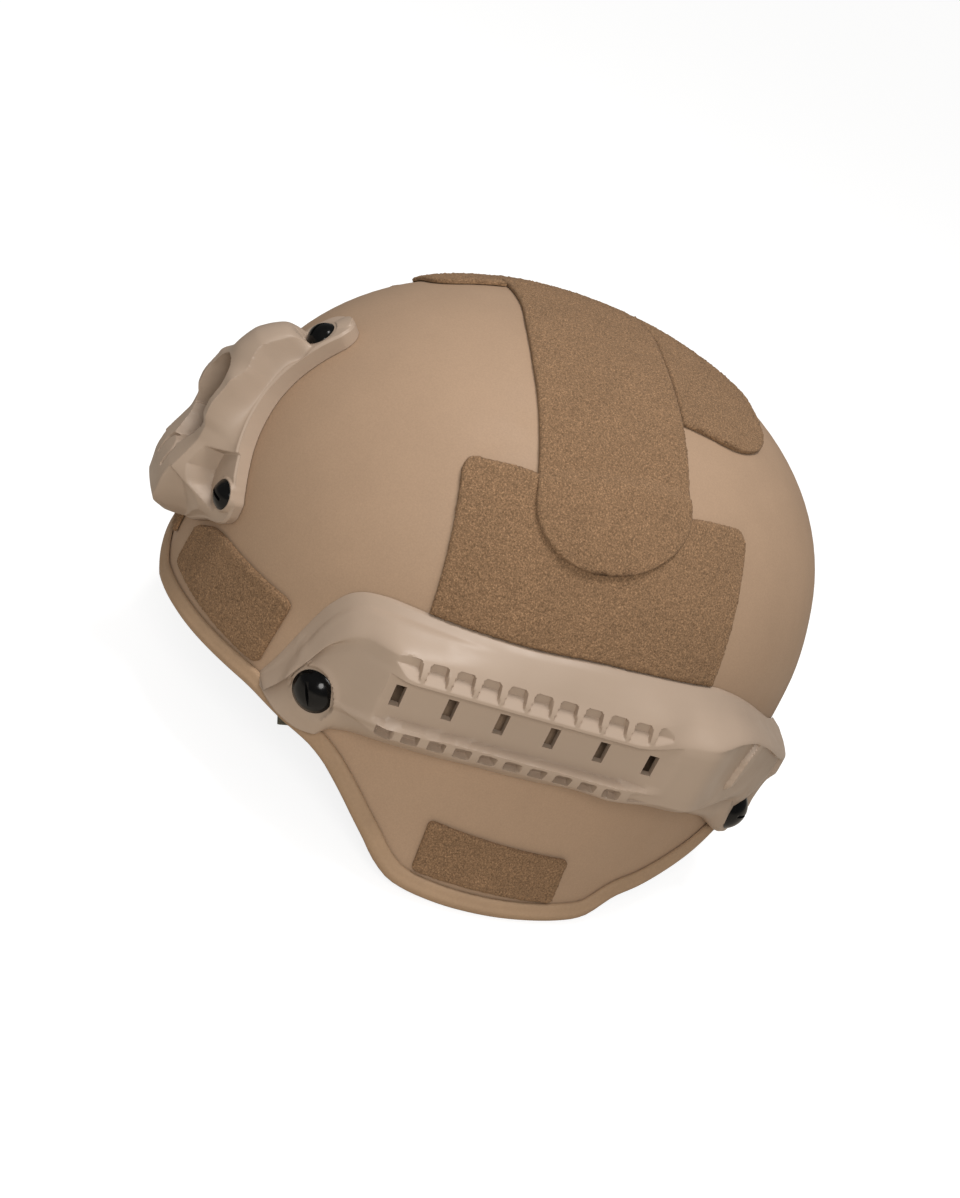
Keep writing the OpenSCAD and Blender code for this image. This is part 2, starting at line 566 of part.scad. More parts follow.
// rounds the corners of a pad in plan: the share of the half width left at v
function corner(v) = 1 - 0.16 * pow(abs(v), 5);
module wall_pad(a0, a1, z0, z1, taper) {
    am = (a0 + a1) / 2;
    zm = (z0 + z1) / 2;
    function at(u, v, o) = skin(
        am + (a1 - a0) / 2 * u * corner(v) * (1 - taper * v), zm + (z1 - z0) / 2 * v * corner(u), o);
    color("darkolivegreen") slab(
        [for (u = steps) [for (v = steps) at(u, v, -pad_back)]],
        [for (u = steps) [for (v = steps) at(u * 0.97, v * 0.97, -pad_back - cushion(u, v))]]);
}
module hook_wall(a, z) {
    color("dimgray") slab(
        [for (u = [-1, -0.5, 0, 0.5, 1]) [for (v = [-1, -0.5, 0, 0.5, 1])
            skin(a + 8 * u, z + 15 * v, -hook_back)]],
        [for (u = [-1, -0.5, 0, 0.5, 1]) [for (v = [-1, -0.5, 0, 0.5, 1])
            skin(a + 8 * u, z + 15 * v, -hook_back - hook_t)]]);
}
module hook_squares() {
    for (a = [-90, 90, -24, 24, 180 + 24, 180 - 24]) hook_wall(a, abs(sin(a)) == 1 ? 112 : 106);
    color("dimgray") slab(
        [for (u = [-1, -0.5, 0, 0.5, 1]) [for (v = [-1, -0.5, 0, 0.5, 1])
            crown_skin(22 * u, 22 * v, -hook_back)]],
        [for (u = [-1, -0.5, 0, 0.5, 1]) [for (v = [-1, -0.5, 0, 0.5, 1])
            crown_skin(22 * u, 22 * v, -hook_back - hook_t)]]);
}
function disc_u(u, v) = u * sqrt(1 - v * v / 2);
module crown_pad() {
    color("darkolivegreen") slab(
        [for (u = steps) [for (v = steps)
            crown_skin(crown_pad_r * disc_u(u, v), crown_pad_r * disc_u(v, u), -pad_back)]],
        [for (u = steps) [for (v = steps)
            crown_skin(crown_pad_r * 0.96 * disc_u(u, v), crown_pad_r * 0.96 * disc_u(v, u),
                -pad_back - cushion(u, v))]]);
}
module brow_pad() {
    wall_pad(-118, -62, 90, 134, 0.12);
}
module nape_pad() {
    wall_pad(64, 116, 88, 134, 0.12);
}
module left_front_pad() {
    wall_pad(-46, -5, 86, 128, 0);
}
module left_rear_pad() {
    wall_pad(5, 46, 86, 128, 0);
}
module right_front_pad() {
    mirror([1, 0, 0]) left_front_pad();
}
module right_rear_pad() {
    mirror([1, 0, 0]) left_rear_pad();
}

// strap tabs, turning on the barrels of the rail nuts
tab_l = 23;
tab_w = web_w + 6;
module strap_tab(turn) {
    color("darkslategray") rotate([0, 0, turn]) translate([0, 0, -wall - tab_back - tab_t]) difference() {
        union() {
            cylinder(r = 11, h = tab_t);
            intersection() {
                translate([0, -tab_w / 2, 0]) cube([tab_l, tab_w, tab_t]);
                cylinder(r = tab_l + 2, h = tab_t);
            }
            cylinder(r = 7.5, h = tab_t + tab_back - 0.8);
        }
        translate([0, 0, -1]) cylinder(r = barrel_r + tab_clear, h = tab_t + tab_back + 2);
        translate([tab_l - 6.5, -web_w / 2 - 0.6, -1]) cube([3.2, web_w + 1.2, tab_t + 2]);
    }
}
front_turn = -35;
rear_turn = 62;
module front_left_tab() {
    on_skin(front_screw) strap_tab(front_turn);
}
module front_right_tab() {
    mirror([1, 0, 0]) front_left_tab();
}
module rear_left_tab() {
    on_skin(rear_screw) strap_tab(-rear_turn);
}
module rear_right_tab() {
    mirror([1, 0, 0]) rear_left_tab();
}

// webbing along the inner wall
web_back = wall + tab_back + tab_t + 0.3;
module wall_web(run, w, o) {
    n = len(run);
    function along(i) = let (p = run[max(0, i - 1)], q = run[min(n - 1, i + 1)])
        unit([(q[0] - p[0]) * 2.1, q[1] - p[1]]);
    function edge(i, s, d) = let (t = along(i))
        skin(run[i][0] - s * w / 2 * t[1] / 2.1, run[i][1] + s * w / 2 * t[0],
            -o - d - (len(run[i]) > 2 ? run[i][2] : 0));
    slab([for (i = [0:n - 1]) [edge(i, -1, 0), edge(i, 0, 0), edge(i, 1, 0)]],
        [for (i = [0:n - 1]) [edge(i, -1, web_t), edge(i, 0, web_t), edge(i, 1, web_t)]]);
}
module side_straps() {
    color("darkslategray") {
        wall_web([[-53.5, 42.5, 1.6], [-50.5, 45.5, 1.6], [-46, 47, 1.2], [-41, 47, 0.6], [-34, 45.5],
            [-26, 42.5],
            [-20, 40], [-14, 37.5], [-9, 36]], web_w, web_back);
        wall_web([[40, 37, 1.2], [35, 38.4, 0.8], [28, 39], [22, 38.3], [15, 37], [6.5, 36]], web_w, web_back);
        wall_web([[-10.5, 36], [-6, 36], [-2, 36], [2, 36], [6, 36]], web_w + 4, web_back + web_t + 0.3);
    }
}
module left_side_straps() {
    side_straps();
}
module right_side_straps() {
    mirror([1, 0, 0]) side_straps();
}
module nape_strap() {
    color("darkslategray") wall_web([for (i = [0:11]) [50.3 + 79.4 * i / 11, 56]], web_w - 3, web_back);
}
module neck_cushion() {
    function at(u, v, o) = skin(90 + 27 * u * corner(v), 56.5 + 13 * v * corner(u), o);
    color("darkolivegreen") slab(
        [for (u = steps) [for (v = steps) at(u, v, -web_back - web_t - 0.3)]],
        [for (u = steps) [for (v = steps) at(u * 0.97, v * 0.95, -web_back - web_t - 0.3 - 5
            - 4 * pow(max(0, 1 - pow(abs(u), 2.6)), 0.5) * pow(max(0, 1 - pow(abs(v), 2.6)), 0.5))]]);
}

// chin strap, laid across the bowl in one upright plane
module band(pts) {
    n = len(pts);
    function nrm2(i) =
        let (p = pts[max(0, i - 1)], q = pts[min(n - 1, i + 1)], t = unit(q - p))
        [-t[1], t[0]];
    translate([0, chin_y + mid_y + web_w / 2, 0]) rotate([90, 0, 0]) linear_extrude(height = web_w)
        polygon(concat([for (i = [0:n - 1]) pts[i] + nrm2(i) * web_t / 2],
            [for (i = [n - 1:-1:0]) pts[i] - nrm2(i) * web_t / 2]));
}
chin_end = side_x(chin_y, 38) - web_back - 2 * web_t - 1.5;
chin_top = chin_z + buckle_t / 2 + 0.4 + web_t / 2;
buckle_x = 26;
module left_chin_strap() {
    color("darkslategray") band([[chin_end, 30], [chin_end - 1, 37], [chin_end - 6, 45], [chin_end - 13, 52],
        [chin_end - 20, 58], [chin_end - 26, chin_top - 0.6], [chin_end - 32, chin_top],
        [buckle_x + buckle_l - 9, chin_top]]);
}
module right_chin_strap() {
    color("darkslategray") band([[-chin_end, 30], [-chin_end + 1, 37], [-chin_end + 6, 45],
        [-chin_end + 13, 52],
        [-chin_end + 20, 58], [-chin_end + 26, chin_top - 0.6], [-chin_end + 32, chin_top],
        [0, chin_top], [buckle_x - 5, chin_top]]);
}

// buckle: the socket is held by the left strap, the plug by the right one
prong_l = 17;
module on_buckle() {
    translate([buckle_x, chin_y + mid_y, chin_z]) children();
}
module buckle_socket() {
    color("dimgray") on_buckle() difference() {
        translate([0, -buckle_w / 2, -buckle_t / 2]) cube([buckle_l, buckle_w, buckle_t]);
        translate([-1, -buckle_w / 2 + 2, -buckle_t / 2 + 1.8])
            cube([prong_l + 3, buckle_w - 4, buckle_t - 3.6]);
        translate([6, -buckle_w, -buckle_t / 2 + 1.8]) cube([prong_l - 8, 2 * buckle_w, buckle_t - 3.6]);
        translate([buckle_l - 6, -web_w / 2 - 0.5, -buckle_t]) cube([3, web_w + 1, 2 * buckle_t]);
    }
}
module buckle_plug() {
    color("dimgray") on_buckle() difference() {
        union() {
            translate([-16.3, -buckle_w / 2, -buckle_t / 2]) cube([16, buckle_w, buckle_t]);
            translate([-1, -2.2, -buckle_t / 2 + 2.2]) cube([prong_l, 4.4, buckle_t - 4.4]);
            for (s = [-1, 1]) {
                translate([-1, s * (buckle_w / 2 - 5.1) - 1.6, -buckle_t / 2 + 2.2])
                    cube([prong_l + 0.5, 3.2, buckle_t - 4.4]);
                translate([6.5, s * (buckle_w / 2 - 4.3) - 2, -buckle_t / 2 + 2.2])
                    cube([prong_l - 9.5, 4, buckle_t - 4.4]);
            }
        }
        for (x = [-14, -8]) translate([x, -web_w / 2 - 0.5, -buckle_t]) cube([3, web_w + 1, 2 * buckle_t]);
    }
}
module chin_cup() {
    cup_w = 40;
    color("darkslategray") translate([-34, chin_y + mid_y, chin_top]) difference() {
        translate([-22, -cup_w / 2, -web_t / 2 - 4.4]) cube([44, cup_w, 8.8]);
        translate([-30, -web_w / 2 - 0.5, -web_t / 2 - 0.4]) cube([60, web_w + 1, web_t + 0.8]);
        translate([0, 0, -web_t / 2 - 33.6]) rotate([90, 0, 0])
            cylinder(r = 31.2, h = cup_w + 2, center = true);
    }
}
module slider() {
    l = 9;
    color("dimgray") translate([shell_half_w - slider_in, chin_y + mid_y, chin_top]) difference() {
        translate([-l / 2, -web_w / 2 - 4, -web_t / 2 - 2]) cube([l, web_w + 8, web_t + 4]);
        translate([-l, -web_w / 2 - 0.5, -web_t / 2 - 0.35]) cube([2 * l, web_w + 1, web_t + 0.7]);
    }
}
module left_slider() {
    slider();
}
module right_slider() {
    mirror([1, 0, 0]) slider();
}

shell();
edge_trim();
brow_shroud();
shroud_screws();
shroud_nuts();
left_rail();
right_rail();
rail_screws();
rail_nuts();
crown_loop();
crown_rear_loop();
crown_right_loop();
left_side_loop();
right_side_loop();
left_ear_loop();
right_ear_loop();
left_brow_loop();
right_brow_loop();
hook_squares();
crown_pad();
brow_pad();
nape_pad();
left_front_pad();
right_front_pad();
left_rear_pad();
right_rear_pad();
front_left_tab();
front_right_tab();
rear_left_tab();
rear_right_tab();
left_side_straps();
right_side_straps();
nape_strap();
neck_cushion();
left_chin_strap();
right_chin_strap();
buckle_socket();
buckle_plug();
chin_cup();
left_slider();
right_slider();
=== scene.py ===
"""Combat helmet: painted shell, rubber edge trim, side rails, brow shroud, loop patches,
padded liner and chin strap."""
import math

import bpy
import numpy as np
from mathutils import Matrix, Vector


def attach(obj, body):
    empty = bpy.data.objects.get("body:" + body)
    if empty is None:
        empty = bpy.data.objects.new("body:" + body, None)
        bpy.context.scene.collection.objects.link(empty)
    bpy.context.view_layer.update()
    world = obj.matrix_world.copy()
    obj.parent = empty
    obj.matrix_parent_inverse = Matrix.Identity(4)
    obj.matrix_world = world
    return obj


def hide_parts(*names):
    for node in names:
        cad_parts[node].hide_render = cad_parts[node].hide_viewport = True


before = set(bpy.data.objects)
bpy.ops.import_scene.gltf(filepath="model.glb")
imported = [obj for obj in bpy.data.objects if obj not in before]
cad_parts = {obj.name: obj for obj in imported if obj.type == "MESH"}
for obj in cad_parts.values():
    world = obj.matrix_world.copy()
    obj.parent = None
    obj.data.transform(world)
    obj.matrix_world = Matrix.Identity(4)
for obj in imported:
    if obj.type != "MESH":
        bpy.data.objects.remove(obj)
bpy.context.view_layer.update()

MM = 0.001
SOFT_EDGE = 0.45
# main sizes in millimetres, as in the part's source
HALF_W, FRONT_L, REAR_L, HIGH = 122.0, 131.0, 135.5, 197.5
WIDE_Z, FLARE, WALL = 91.5, 0.076, 7.0
BROW_SWELL, NAPE_SWELL = 3.0, 3.5
CROWN_P, CROWN_Q = 2.16, 2.31
MID_Y = 5.22
COVER_Z = 3.2
SEAT = 0.3
RAIL_TILT = math.radians(8.5)
RAIL_X, RAIL_Y = 128.0, -24.0
LIP_Z, LIP_D = 96.5, 4.5
PITCH = 10.0


# smooth lines and the form of the shell
def soft_line(table):
    """A smooth line through a table's points that never overshoots them."""
    x, y = np.array(table, float).T
    h = np.diff(x)
    d = np.diff(y) / h
    m = np.zeros_like(x)
    m[0], m[-1] = d[0], d[-1]
    for i in range(1, len(x) - 1):
        if d[i - 1] * d[i] > 0:
            a, b = 2 * h[i] + h[i - 1], h[i] + 2 * h[i - 1]
            m[i] = (a + b) / (a / d[i - 1] + b / d[i])

    def at(t):
        t = np.clip(t, x[0], x[-1])
        k = np.clip(np.searchsorted(x, t, side="right") - 1, 0, len(h) - 1)
        s = (t - x[k]) / h[k]
        return ((2 * s ** 3 - 3 * s ** 2 + 1) * y[k] + (s ** 3 - 2 * s ** 2 + s) * h[k] * m[k]
                + (3 * s ** 2 - 2 * s ** 3) * y[k + 1] + (s ** 3 - s ** 2) * h[k] * m[k + 1])
    return at


def line(table):
    x, y = np.array(table, float).T
    return lambda t: np.interp(t, x, y)


def ease(t):
    u = np.clip(t, 0, 1)
    return u * u * (3 - 2 * u)


def step(x, edge, wide):
    """0 below the edge and 1 above it, over a rounded width."""
    return ease((x - edge) / wide + 0.5)


def half_l(y, z):
    return np.where(y < 0, FRONT_L + BROW_SWELL * ease((WIDE_Z - z) / 30),
                    REAR_L + NAPE_SWELL * ease((WIDE_Z + 34 - z) / 45))


def rise(z):
    return np.clip((z - WIDE_Z) / (HIGH - WIDE_Z), 0, 1)


def girth(z):
    above = np.maximum(0, 1 - rise(z) ** CROWN_P) ** (1 / CROWN_Q)
    return np.where(z > WIDE_Z, above, 1 + FLARE * ((WIDE_Z - z) / WIDE_Z) ** 2)


def girth_slope(z):
    r = rise(z)
    room = np.maximum(1e-6, 1 - r ** CROWN_P)
    above = -(CROWN_P / CROWN_Q) * r ** (CROWN_P - 1) * room ** (1 / CROWN_Q - 1)
    return np.where(z > WIDE_Z, above / (HIGH - WIDE_Z), -2 * FLARE * (WIDE_Z - z) / WIDE_Z ** 2)


def out_dir(x, y, z):
    k = half_l(y, z)
    r = np.maximum(np.hypot(x / HALF_W, y / k), 1e-5)
    n = np.stack([x / HALF_W ** 2 / r, y / k ** 2 / r, -girth_slope(z)], -1)
    return n / np.linalg.norm(n, axis=-1, keepdims=True)


def lift(x, y, z, o):
    """The point at x, y, z of the bare shell, moved out by o."""
    x, y, z, o = np.broadcast_arrays(*(np.asarray(v, float) for v in (x, y, z, o)))
    return np.stack([x, y, z], -1) + o[..., None] * out_dir(x, y, z)


def plan_r(a, z):
    a = np.radians(a)
    return 1 / np.hypot(np.cos(a) / HALF_W, np.sin(a) / half_l(np.sin(a), z))


def skin(a, z, o):
    r = plan_r(a, z) * girth(z)
    return lift(r * np.cos(np.radians(a)), r * np.sin(np.radians(a)), z, o)


def crown_skin(x, y, o):
    r = np.hypot(x / HALF_W, y / half_l(y, HIGH))
    z = WIDE_Z + (HIGH - WIDE_Z) * np.maximum(0, 1 - np.minimum(1, r) ** CROWN_Q) ** (1 / CROWN_P)
    return lift(x, y, z, o)


def side_x(y, z):
    return HALF_W * np.sqrt(np.maximum(0.01, girth(z) ** 2 - (y / half_l(y, z)) ** 2))


def side_skin(y, z, o):
    return lift(side_x(y, z), y, z, o)


def brow_y(x, z):
    return -half_l(-1, z) * np.sqrt(np.maximum(0.01, girth(z) ** 2 - (x / HALF_W) ** 2))


def brow_skin(x, z, o):
    return lift(x, brow_y(x, z), z, o)


rim_of = soft_line([
    [-90, 44.5], [-76, 47.9], [-58, 50.1], [-48, 46.9], [-43, 45.1], [-39, 41.5], [-36, 36.9],
    [-33, 31.5], [-30, 25.5], [-27, 19.5], [-24, 13], [-20, 7.4], [-15, 5.1], [-8, 3.7], [0, 3.2],
    [8, 3.5], [14, 4.4], [17, 6.2], [19.5, 10.2], [22, 13.8], [27, 17], [33, 21.6], [40, 26.8],
    [47, 32.2], [56, 37], [68, 40.4], [90, 42]])


def rim_z(a):
    a = (a + 180) % 360 - 180
    return rim_of(np.where(a > 90, 180 - a, np.where(a < -90, -180 - a, a)))


def rim_pt(a, up, o):
    """A point by the rim: up measured square to the rim line, o out from the shell."""
    z = rim_z(a)
    r = plan_r(a, z) * girth(z)
    s = (rim_z(a + 1.5) - rim_z(a - 1.5)) / (r * math.radians(3))
    k = np.sqrt(1 + s * s)
    return skin(a - np.degrees(up * s / k / r), z + up / k, o)


# modelling helpers
def alone(obj):
    bpy.ops.object.select_all(action="DESELECT")
    obj.select_set(True)
    bpy.context.view_layer.objects.active = obj
    return obj


def fresh(name, add, **how):
    """A new primitive with nothing else selected."""
    bpy.ops.object.select_all(action="DESELECT")
    add(**how)
    obj = bpy.context.active_object
    obj.name = obj.data.name = name
    return obj


def points(obj):
    co = np.empty(len(obj.data.vertices) * 3)
    obj.data.vertices.foreach_get("co", co)
    return co.reshape(-1, 3)


def place(obj, co, mid=True):
    """Writes the points, given in millimetres from the middle of the widest section, into the mesh."""
    co = np.array(co, float)
    if mid:
        co[:, 1] += MID_Y
    obj.data.vertices.foreach_set("co", (co * MM).ravel())
    obj.data.update()


def in_edit(obj, *steps):
    alone(obj)
    bpy.ops.object.mode_set(mode="EDIT")
    bpy.ops.mesh.select_all(action="SELECT")
    for do in steps:
        do()
    bpy.ops.object.mode_set(mode="OBJECT")


def outward(obj):
    in_edit(obj, lambda: bpy.ops.mesh.normals_make_consistent(inside=False))
    return obj


def apply(obj, kind, **values):
    alone(obj)
    mod = obj.modifiers.new("step", kind)
    for key, value in values.items():
        setattr(mod, key, value)
    bpy.ops.object.modifier_apply(modifier=mod.name)
    return obj


def smooth(obj, angle=38):
    alone(obj)
    bpy.ops.object.shade_smooth_by_angle(angle=math.radians(angle))
    return obj


def cut(obj, *tools):
    for tool in tools:
        apply(obj, "BOOLEAN", operation="DIFFERENCE", solver="EXACT", object=tool)
        bpy.data.objects.remove(tool)
    return obj


def join(name, parts):
    bpy.ops.object.select_all(action="DESELECT")
    for part in parts:
        part.select_set(True)
    bpy.context.view_layer.objects.active = parts[0]
    bpy.ops.object.join()
    obj = bpy.context.active_object
    obj.name = obj.data.name = name
    return obj


def mirrored(obj, name):
    """A copy for the other side, with its own mesh."""
    twin = obj.copy()
    twin.data = obj.data.copy()
    twin.name = twin.data.name = name
    for key in list(twin.keys()):
        del twin[key]
    bpy.context.collection.objects.link(twin)
    co = points(twin)
    co[:, 0] *= -1
    twin.data.vertices.foreach_set("co", co.ravel())
    in_edit(twin, bpy.ops.mesh.flip_normals)
    return twin


def plate(name, us, vs, outer, inner, square=1.0):
    """A closed plate: a grid given a thickness, its two faces laid on outer(u, v) and inner(u, v)."""
    nu, nv = len(us) - 1, len(vs) - 1
    obj = fresh(name, bpy.ops.mesh.primitive_grid_add, x_subdivisions=nu, y_subdivisions=nv, size=2)
    apply(obj, "SOLIDIFY", thickness=1, offset=-1)
    co = points(obj)
    i = np.rint((co[:, 0] + 1) / 2 * nu).astype(int)
    j = np.rint((co[:, 1] + 1) / 2 * nv).astype(int)
    u, v = np.asarray(us, float)[i], np.asarray(vs, float)[j]
    top, low = outer(u, v), inner(u, v)
    uv = obj.data.uv_layers.active or obj.data.uv_layers.new(name="cloth")
    loops = np.empty(len(obj.data.loops), int)
    obj.data.loops.foreach_get("vertex_index", loops)
    flat = np.stack([u, v], -1)[loops] * square * MM
    uv.data.foreach_set("uv", flat.ravel())
    place(obj, np.where((co[:, 2] > -0.5)[:, None], top, low))
    return outward(obj)


def spaced(a, b, pitch):
    return np.linspace(a, b, max(2, int(round((b - a) / pitch)) + 1))


def turned(name, profile, segments=48):
    """A turned part: a sphere's rings laid on a profile of (radius, height), top pole first."""
    n = len(profile) - 1
    obj = fresh(name, bpy.ops.mesh.primitive_uv_sphere_add, segments=segments, ring_count=n, radius=1)
    co = points(obj)
    ring = np.rint(np.arccos(np.clip(co[:, 2], -1, 1)) / math.pi * n).astype(int)
    prof = np.array(profile, float)
    r = np.hypot(co[:, 0], co[:, 1])
    way = np.where(r[:, None] > 1e-6, co[:, :2] / np.maximum(r, 1e-6)[:, None], 0)
    new = np.concatenate([way * prof[ring, 0][:, None], prof[ring, 1][:, None]], 1)
    obj.data.vertices.foreach_set("co", new.ravel())
    obj.data.update()
    return outward(obj)


def seat_on(p):
    """The tool frame on the shell at a bare point: local z straight out."""
    n = out_dir(*(np.asarray(c, float) for c in p))
    az, el = math.atan2(n[1], n[0]), math.asin(n[2])
    return (Matrix.Translation((p[0], p[1] + MID_Y, p[2])) @ Matrix.Rotation(az, 4, "Z")
            @ Matrix.Rotation(math.pi / 2 - el, 4, "Y"))


def set_in(obj, matrix):
    """Puts a piece modelled in millimetres at its place, in metres, with the place in its mesh."""
    obj.data.transform(Matrix.Scale(MM, 4) @ matrix)
    obj.data.update()
    return obj


FLIP = Matrix.Scale(-1, 4, (1, 0, 0))


def ring_xyz(a, z):
    r = float(plan_r(a, z) * girth(z))
    return (r * math.cos(math.radians(a)), r * math.sin(math.radians(a)), z)


FRONT_SCREW, REAR_SCREW = ring_xyz(-44.5, 67.0), ring_xyz(46.0, 46.5)
TOP_SCREW = (0.0, float(brow_y(0, 160)), 160.0)
LOW_SCREW = (28.0, float(brow_y(28, 102)), 102.0)


# finishes
class Finish:
    """A material built from nodes. Evenly set values go straight on the shader's sockets."""

    def __init__(self, name, **sockets):
        self.mat = bpy.data.materials.new(name)
        self.mat.use_nodes = True
        self.tree = self.mat.node_tree
        self.tree.nodes.clear()
        self.out = self.node("ShaderNodeOutputMaterial")
        self.skin = self.node("ShaderNodeBsdfPrincipled")
        self.link(self.skin.outputs[0], self.out.inputs[0])
        for key, value in sockets.items():
            self.skin.inputs[key.replace("_", " ")].default_value = value
        self.where = self.node("ShaderNodeTexCoord")

    def node(self, kind, **values):
        n = self.tree.nodes.new(kind)
        for key, value in values.items():
            setattr(n, key, value)
        return n

    def link(self, a, b):
        self.tree.links.new(a, b)

    def noise(self, scale, detail=2.0, rough=0.5, stretch=None, uv=False):
        n = self.node("ShaderNodeTexNoise")
        n.inputs["Scale"].default_value = scale
        n.inputs["Detail"].default_value = detail
        n.inputs["Roughness"].default_value = rough
        self.link(self.spread(stretch, uv), n.inputs["Vector"])
        return n.outputs["Fac"]

    def cells(self, scale, feature="F1", out="Distance", stretch=None, uv=False):
        n = self.node("ShaderNodeTexVoronoi", feature=feature)
        n.inputs["Scale"].default_value = scale
        self.link(self.spread(stretch, uv), n.inputs["Vector"])
        return n.outputs[out]

    def spread(self, stretch, uv):
        source = self.where.outputs["UV" if uv else "Object"]
        if stretch is None:
            return source
        m = self.node("ShaderNodeMapping")
        m.inputs["Scale"].default_value = stretch
        self.link(source, m.inputs["Vector"])
        return m.outputs[0]

    def waves(self, scale, way="X", uv=True, profile="SIN"):
        n = self.node("ShaderNodeTexWave", wave_type="BANDS", bands_direction=way, wave_profile=profile)
        n.inputs["Scale"].default_value = scale
        self.link(self.where.outputs["UV" if uv else "Object"], n.inputs["Vector"])
        return n.outputs["Fac"]

    def ramp(self, fac, stops):
        n = self.node("ShaderNodeValToRGB")
        el = n.color_ramp.elements
        while len(el) < len(stops):
            el.new(0.5)
        for e, (at, colour) in zip(el, stops):
            e.position = at
            e.color = (*colour, 1) if len(colour) == 3 else colour
        self.link(fac, n.inputs[0])
        return n.outputs[0]

    def span(self, fac, a, b, c, d):
        n = self.node("ShaderNodeMapRange")
        for key, value in zip(("From Min", "From Max", "To Min", "To Max"), (a, b, c, d)):
            n.inputs[key].default_value = value
        self.link(fac, n.inputs["Value"])
        return n.outputs[0]

    def sums(self, how, a, b):
        n = self.node("ShaderNodeMath", operation=how)
        for socket, value in zip(n.inputs, (a, b)):
            if isinstance(value, (int, float)):
                socket.default_value = value
            else:
                self.link(value, socket)
        return n.outputs[0]

    def mix(self, fac, a, b, how="MIX"):
        n = self.node("ShaderNodeMix", data_type="RGBA", blend_type=how)
        for socket, value in zip((n.inputs[0], n.inputs[6], n.inputs[7]), (fac, a, b)):
            if isinstance(value, (int, float)):
                socket.default_value = value
            elif isinstance(value, tuple):
                socket.default_value = (*value, 1)
            else:
                self.link(value, socket)
        return n.outputs[2]

    def bump(self, height, depth, strength=1.0):
        n = self.node("ShaderNodeBump")
        n.inputs["Strength"].default_value = strength
        n.inputs["Distance"].default_value = depth * MM
        self.link(height, n.inputs["Height"])
        if self.skin.inputs["Normal"].is_linked:
            self.link(self.skin.inputs["Normal"].links[0].from_socket, n.inputs["Normal"])
        self.link(n.outputs[0], self.skin.inputs["Normal"])

    def put(self, socket, value):
        self.link(value, self.skin.inputs[socket])
        return self


def shades(colour, *steps):
    return [(at, tuple(min(1.0, c * k) for c in colour)) for at, k in steps]


def shell_paint():
    f = Finish("shell_paint", Roughness=0.62, Specular_IOR_Level=0.34)
    tone = (0.424, 0.288, 0.19)
    wide = f.ramp(f.noise(9, 4, 0.55), shades(tone, (0.3, 0.94), (0.7, 1.05)))
    fine = f.ramp(f.noise(1500, 2, 0.6), shades((1, 1, 1), (0.3, 0.9), (0.72, 1.0)))
    rub = f.ramp(f.noise(55, 6, 0.7), shades((1, 1, 1), (0.3, 0.965), (0.6, 1.0)))
    f.put("Base Color", f.mix(1.0, f.mix(1.0, wide, fine, "MULTIPLY"), rub, "MULTIPLY"))
    f.put("Roughness", f.span(f.noise(60, 3), 0.3, 0.7, 0.55, 0.7))
    f.bump(f.noise(1100, 3, 0.6), 0.09, 0.5)
    f.bump(f.noise(24, 3), 0.25, 0.12)
    return f.mat


def moulded_plastic():
    f = Finish("moulded_plastic", Roughness=0.44, Specular_IOR_Level=0.45)
    tone = (0.41, 0.313, 0.238)
    wide = f.ramp(f.noise(14, 3, 0.5), shades(tone, (0.3, 0.96), (0.7, 1.04)))
    flow = f.ramp(f.noise(30, 5, 0.6, stretch=(1, 0.25, 3)), shades((1, 1, 1), (0.3, 0.96), (0.7, 1.0)))
    f.put("Base Color", f.mix(1.0, wide, flow, "MULTIPLY"))
    f.put("Roughness", f.span(f.noise(90, 4), 0.3, 0.7, 0.38, 0.52))
    f.bump(f.noise(1600, 2, 0.5), 0.04, 0.35)
    f.bump(f.noise(60, 4, 0.6), 0.12, 0.1)
    return f.mat


def trim_rubber():
    f = Finish("trim_rubber", Roughness=0.66, Specular_IOR_Level=0.3)
    tone = (0.405, 0.272, 0.17)
    f.put("Base Color", f.mix(1.0, f.ramp(f.noise(40, 4, 0.6), shades(tone, (0.3, 0.93), (0.7, 1.05))),
                              f.ramp(f.noise(900, 2), shades((1, 1, 1), (0.3, 0.93), (0.7, 1.0))),
                              "MULTIPLY"))
    f.put("Roughness", f.span(f.noise(120, 3), 0.3, 0.7, 0.6, 0.74))
    f.bump(f.noise(900, 3, 0.6), 0.06, 0.4)
    return f.mat


def loop_fastener():
    f = Finish("loop_fastener", Roughness=0.88, Specular_IOR_Level=0.16,
               Sheen_Weight=0.12, Sheen_Roughness=0.5)
    f.skin.inputs["Sheen Tint"].default_value = (0.9, 0.7, 0.5, 1)
    tone = (0.272, 0.164, 0.09)
    curls = f.noise(1500, 3, 0.78)
    # the nap's colour follows the bump's noise: the fibres' own uneven tone, with painted shade in the low
    # gaps between the loops and a painted highlight on their tops
    base = f.ramp(curls, shades(tone, (0.3, 0.42), (0.45, 0.85), (0.56, 1.15), (0.68, 1.9)))
    # painted glints: bright specks at the cells' centres stand in for light caught on the loops
    painted_glint = f.ramp(f.cells(1900, out="Distance"), shades((1, 1, 1), (0.05, 1.75), (0.2, 1.0), (1.0, 0.92)))
    wide = f.ramp(f.noise(60, 4, 0.6), shades((1, 1, 1), (0.3, 0.9), (0.7, 1.06)))
    f.put("Base Color", f.mix(1.0, f.mix(1.0, base, painted_glint, "MULTIPLY"), wide, "MULTIPLY"))
    f.bump(curls, 0.7, 0.75)
    f.bump(f.noise(420, 3, 0.6), 0.8, 0.5)
    return f.mat


def black_screw():
    f = Finish("black_screw", Roughness=0.16, Specular_IOR_Level=0.26)
    f.put("Base Color", f.ramp(f.noise(220, 4, 0.6), shades((0.004, 0.004, 0.004), (0.35, 0.8), (0.7, 1.4))))
    f.put("Roughness", f.span(f.noise(400, 4, 0.7), 0.35, 0.7, 0.1, 0.22))
    f.bump(f.noise(500, 3), 0.05, 0.15)
    return f.mat


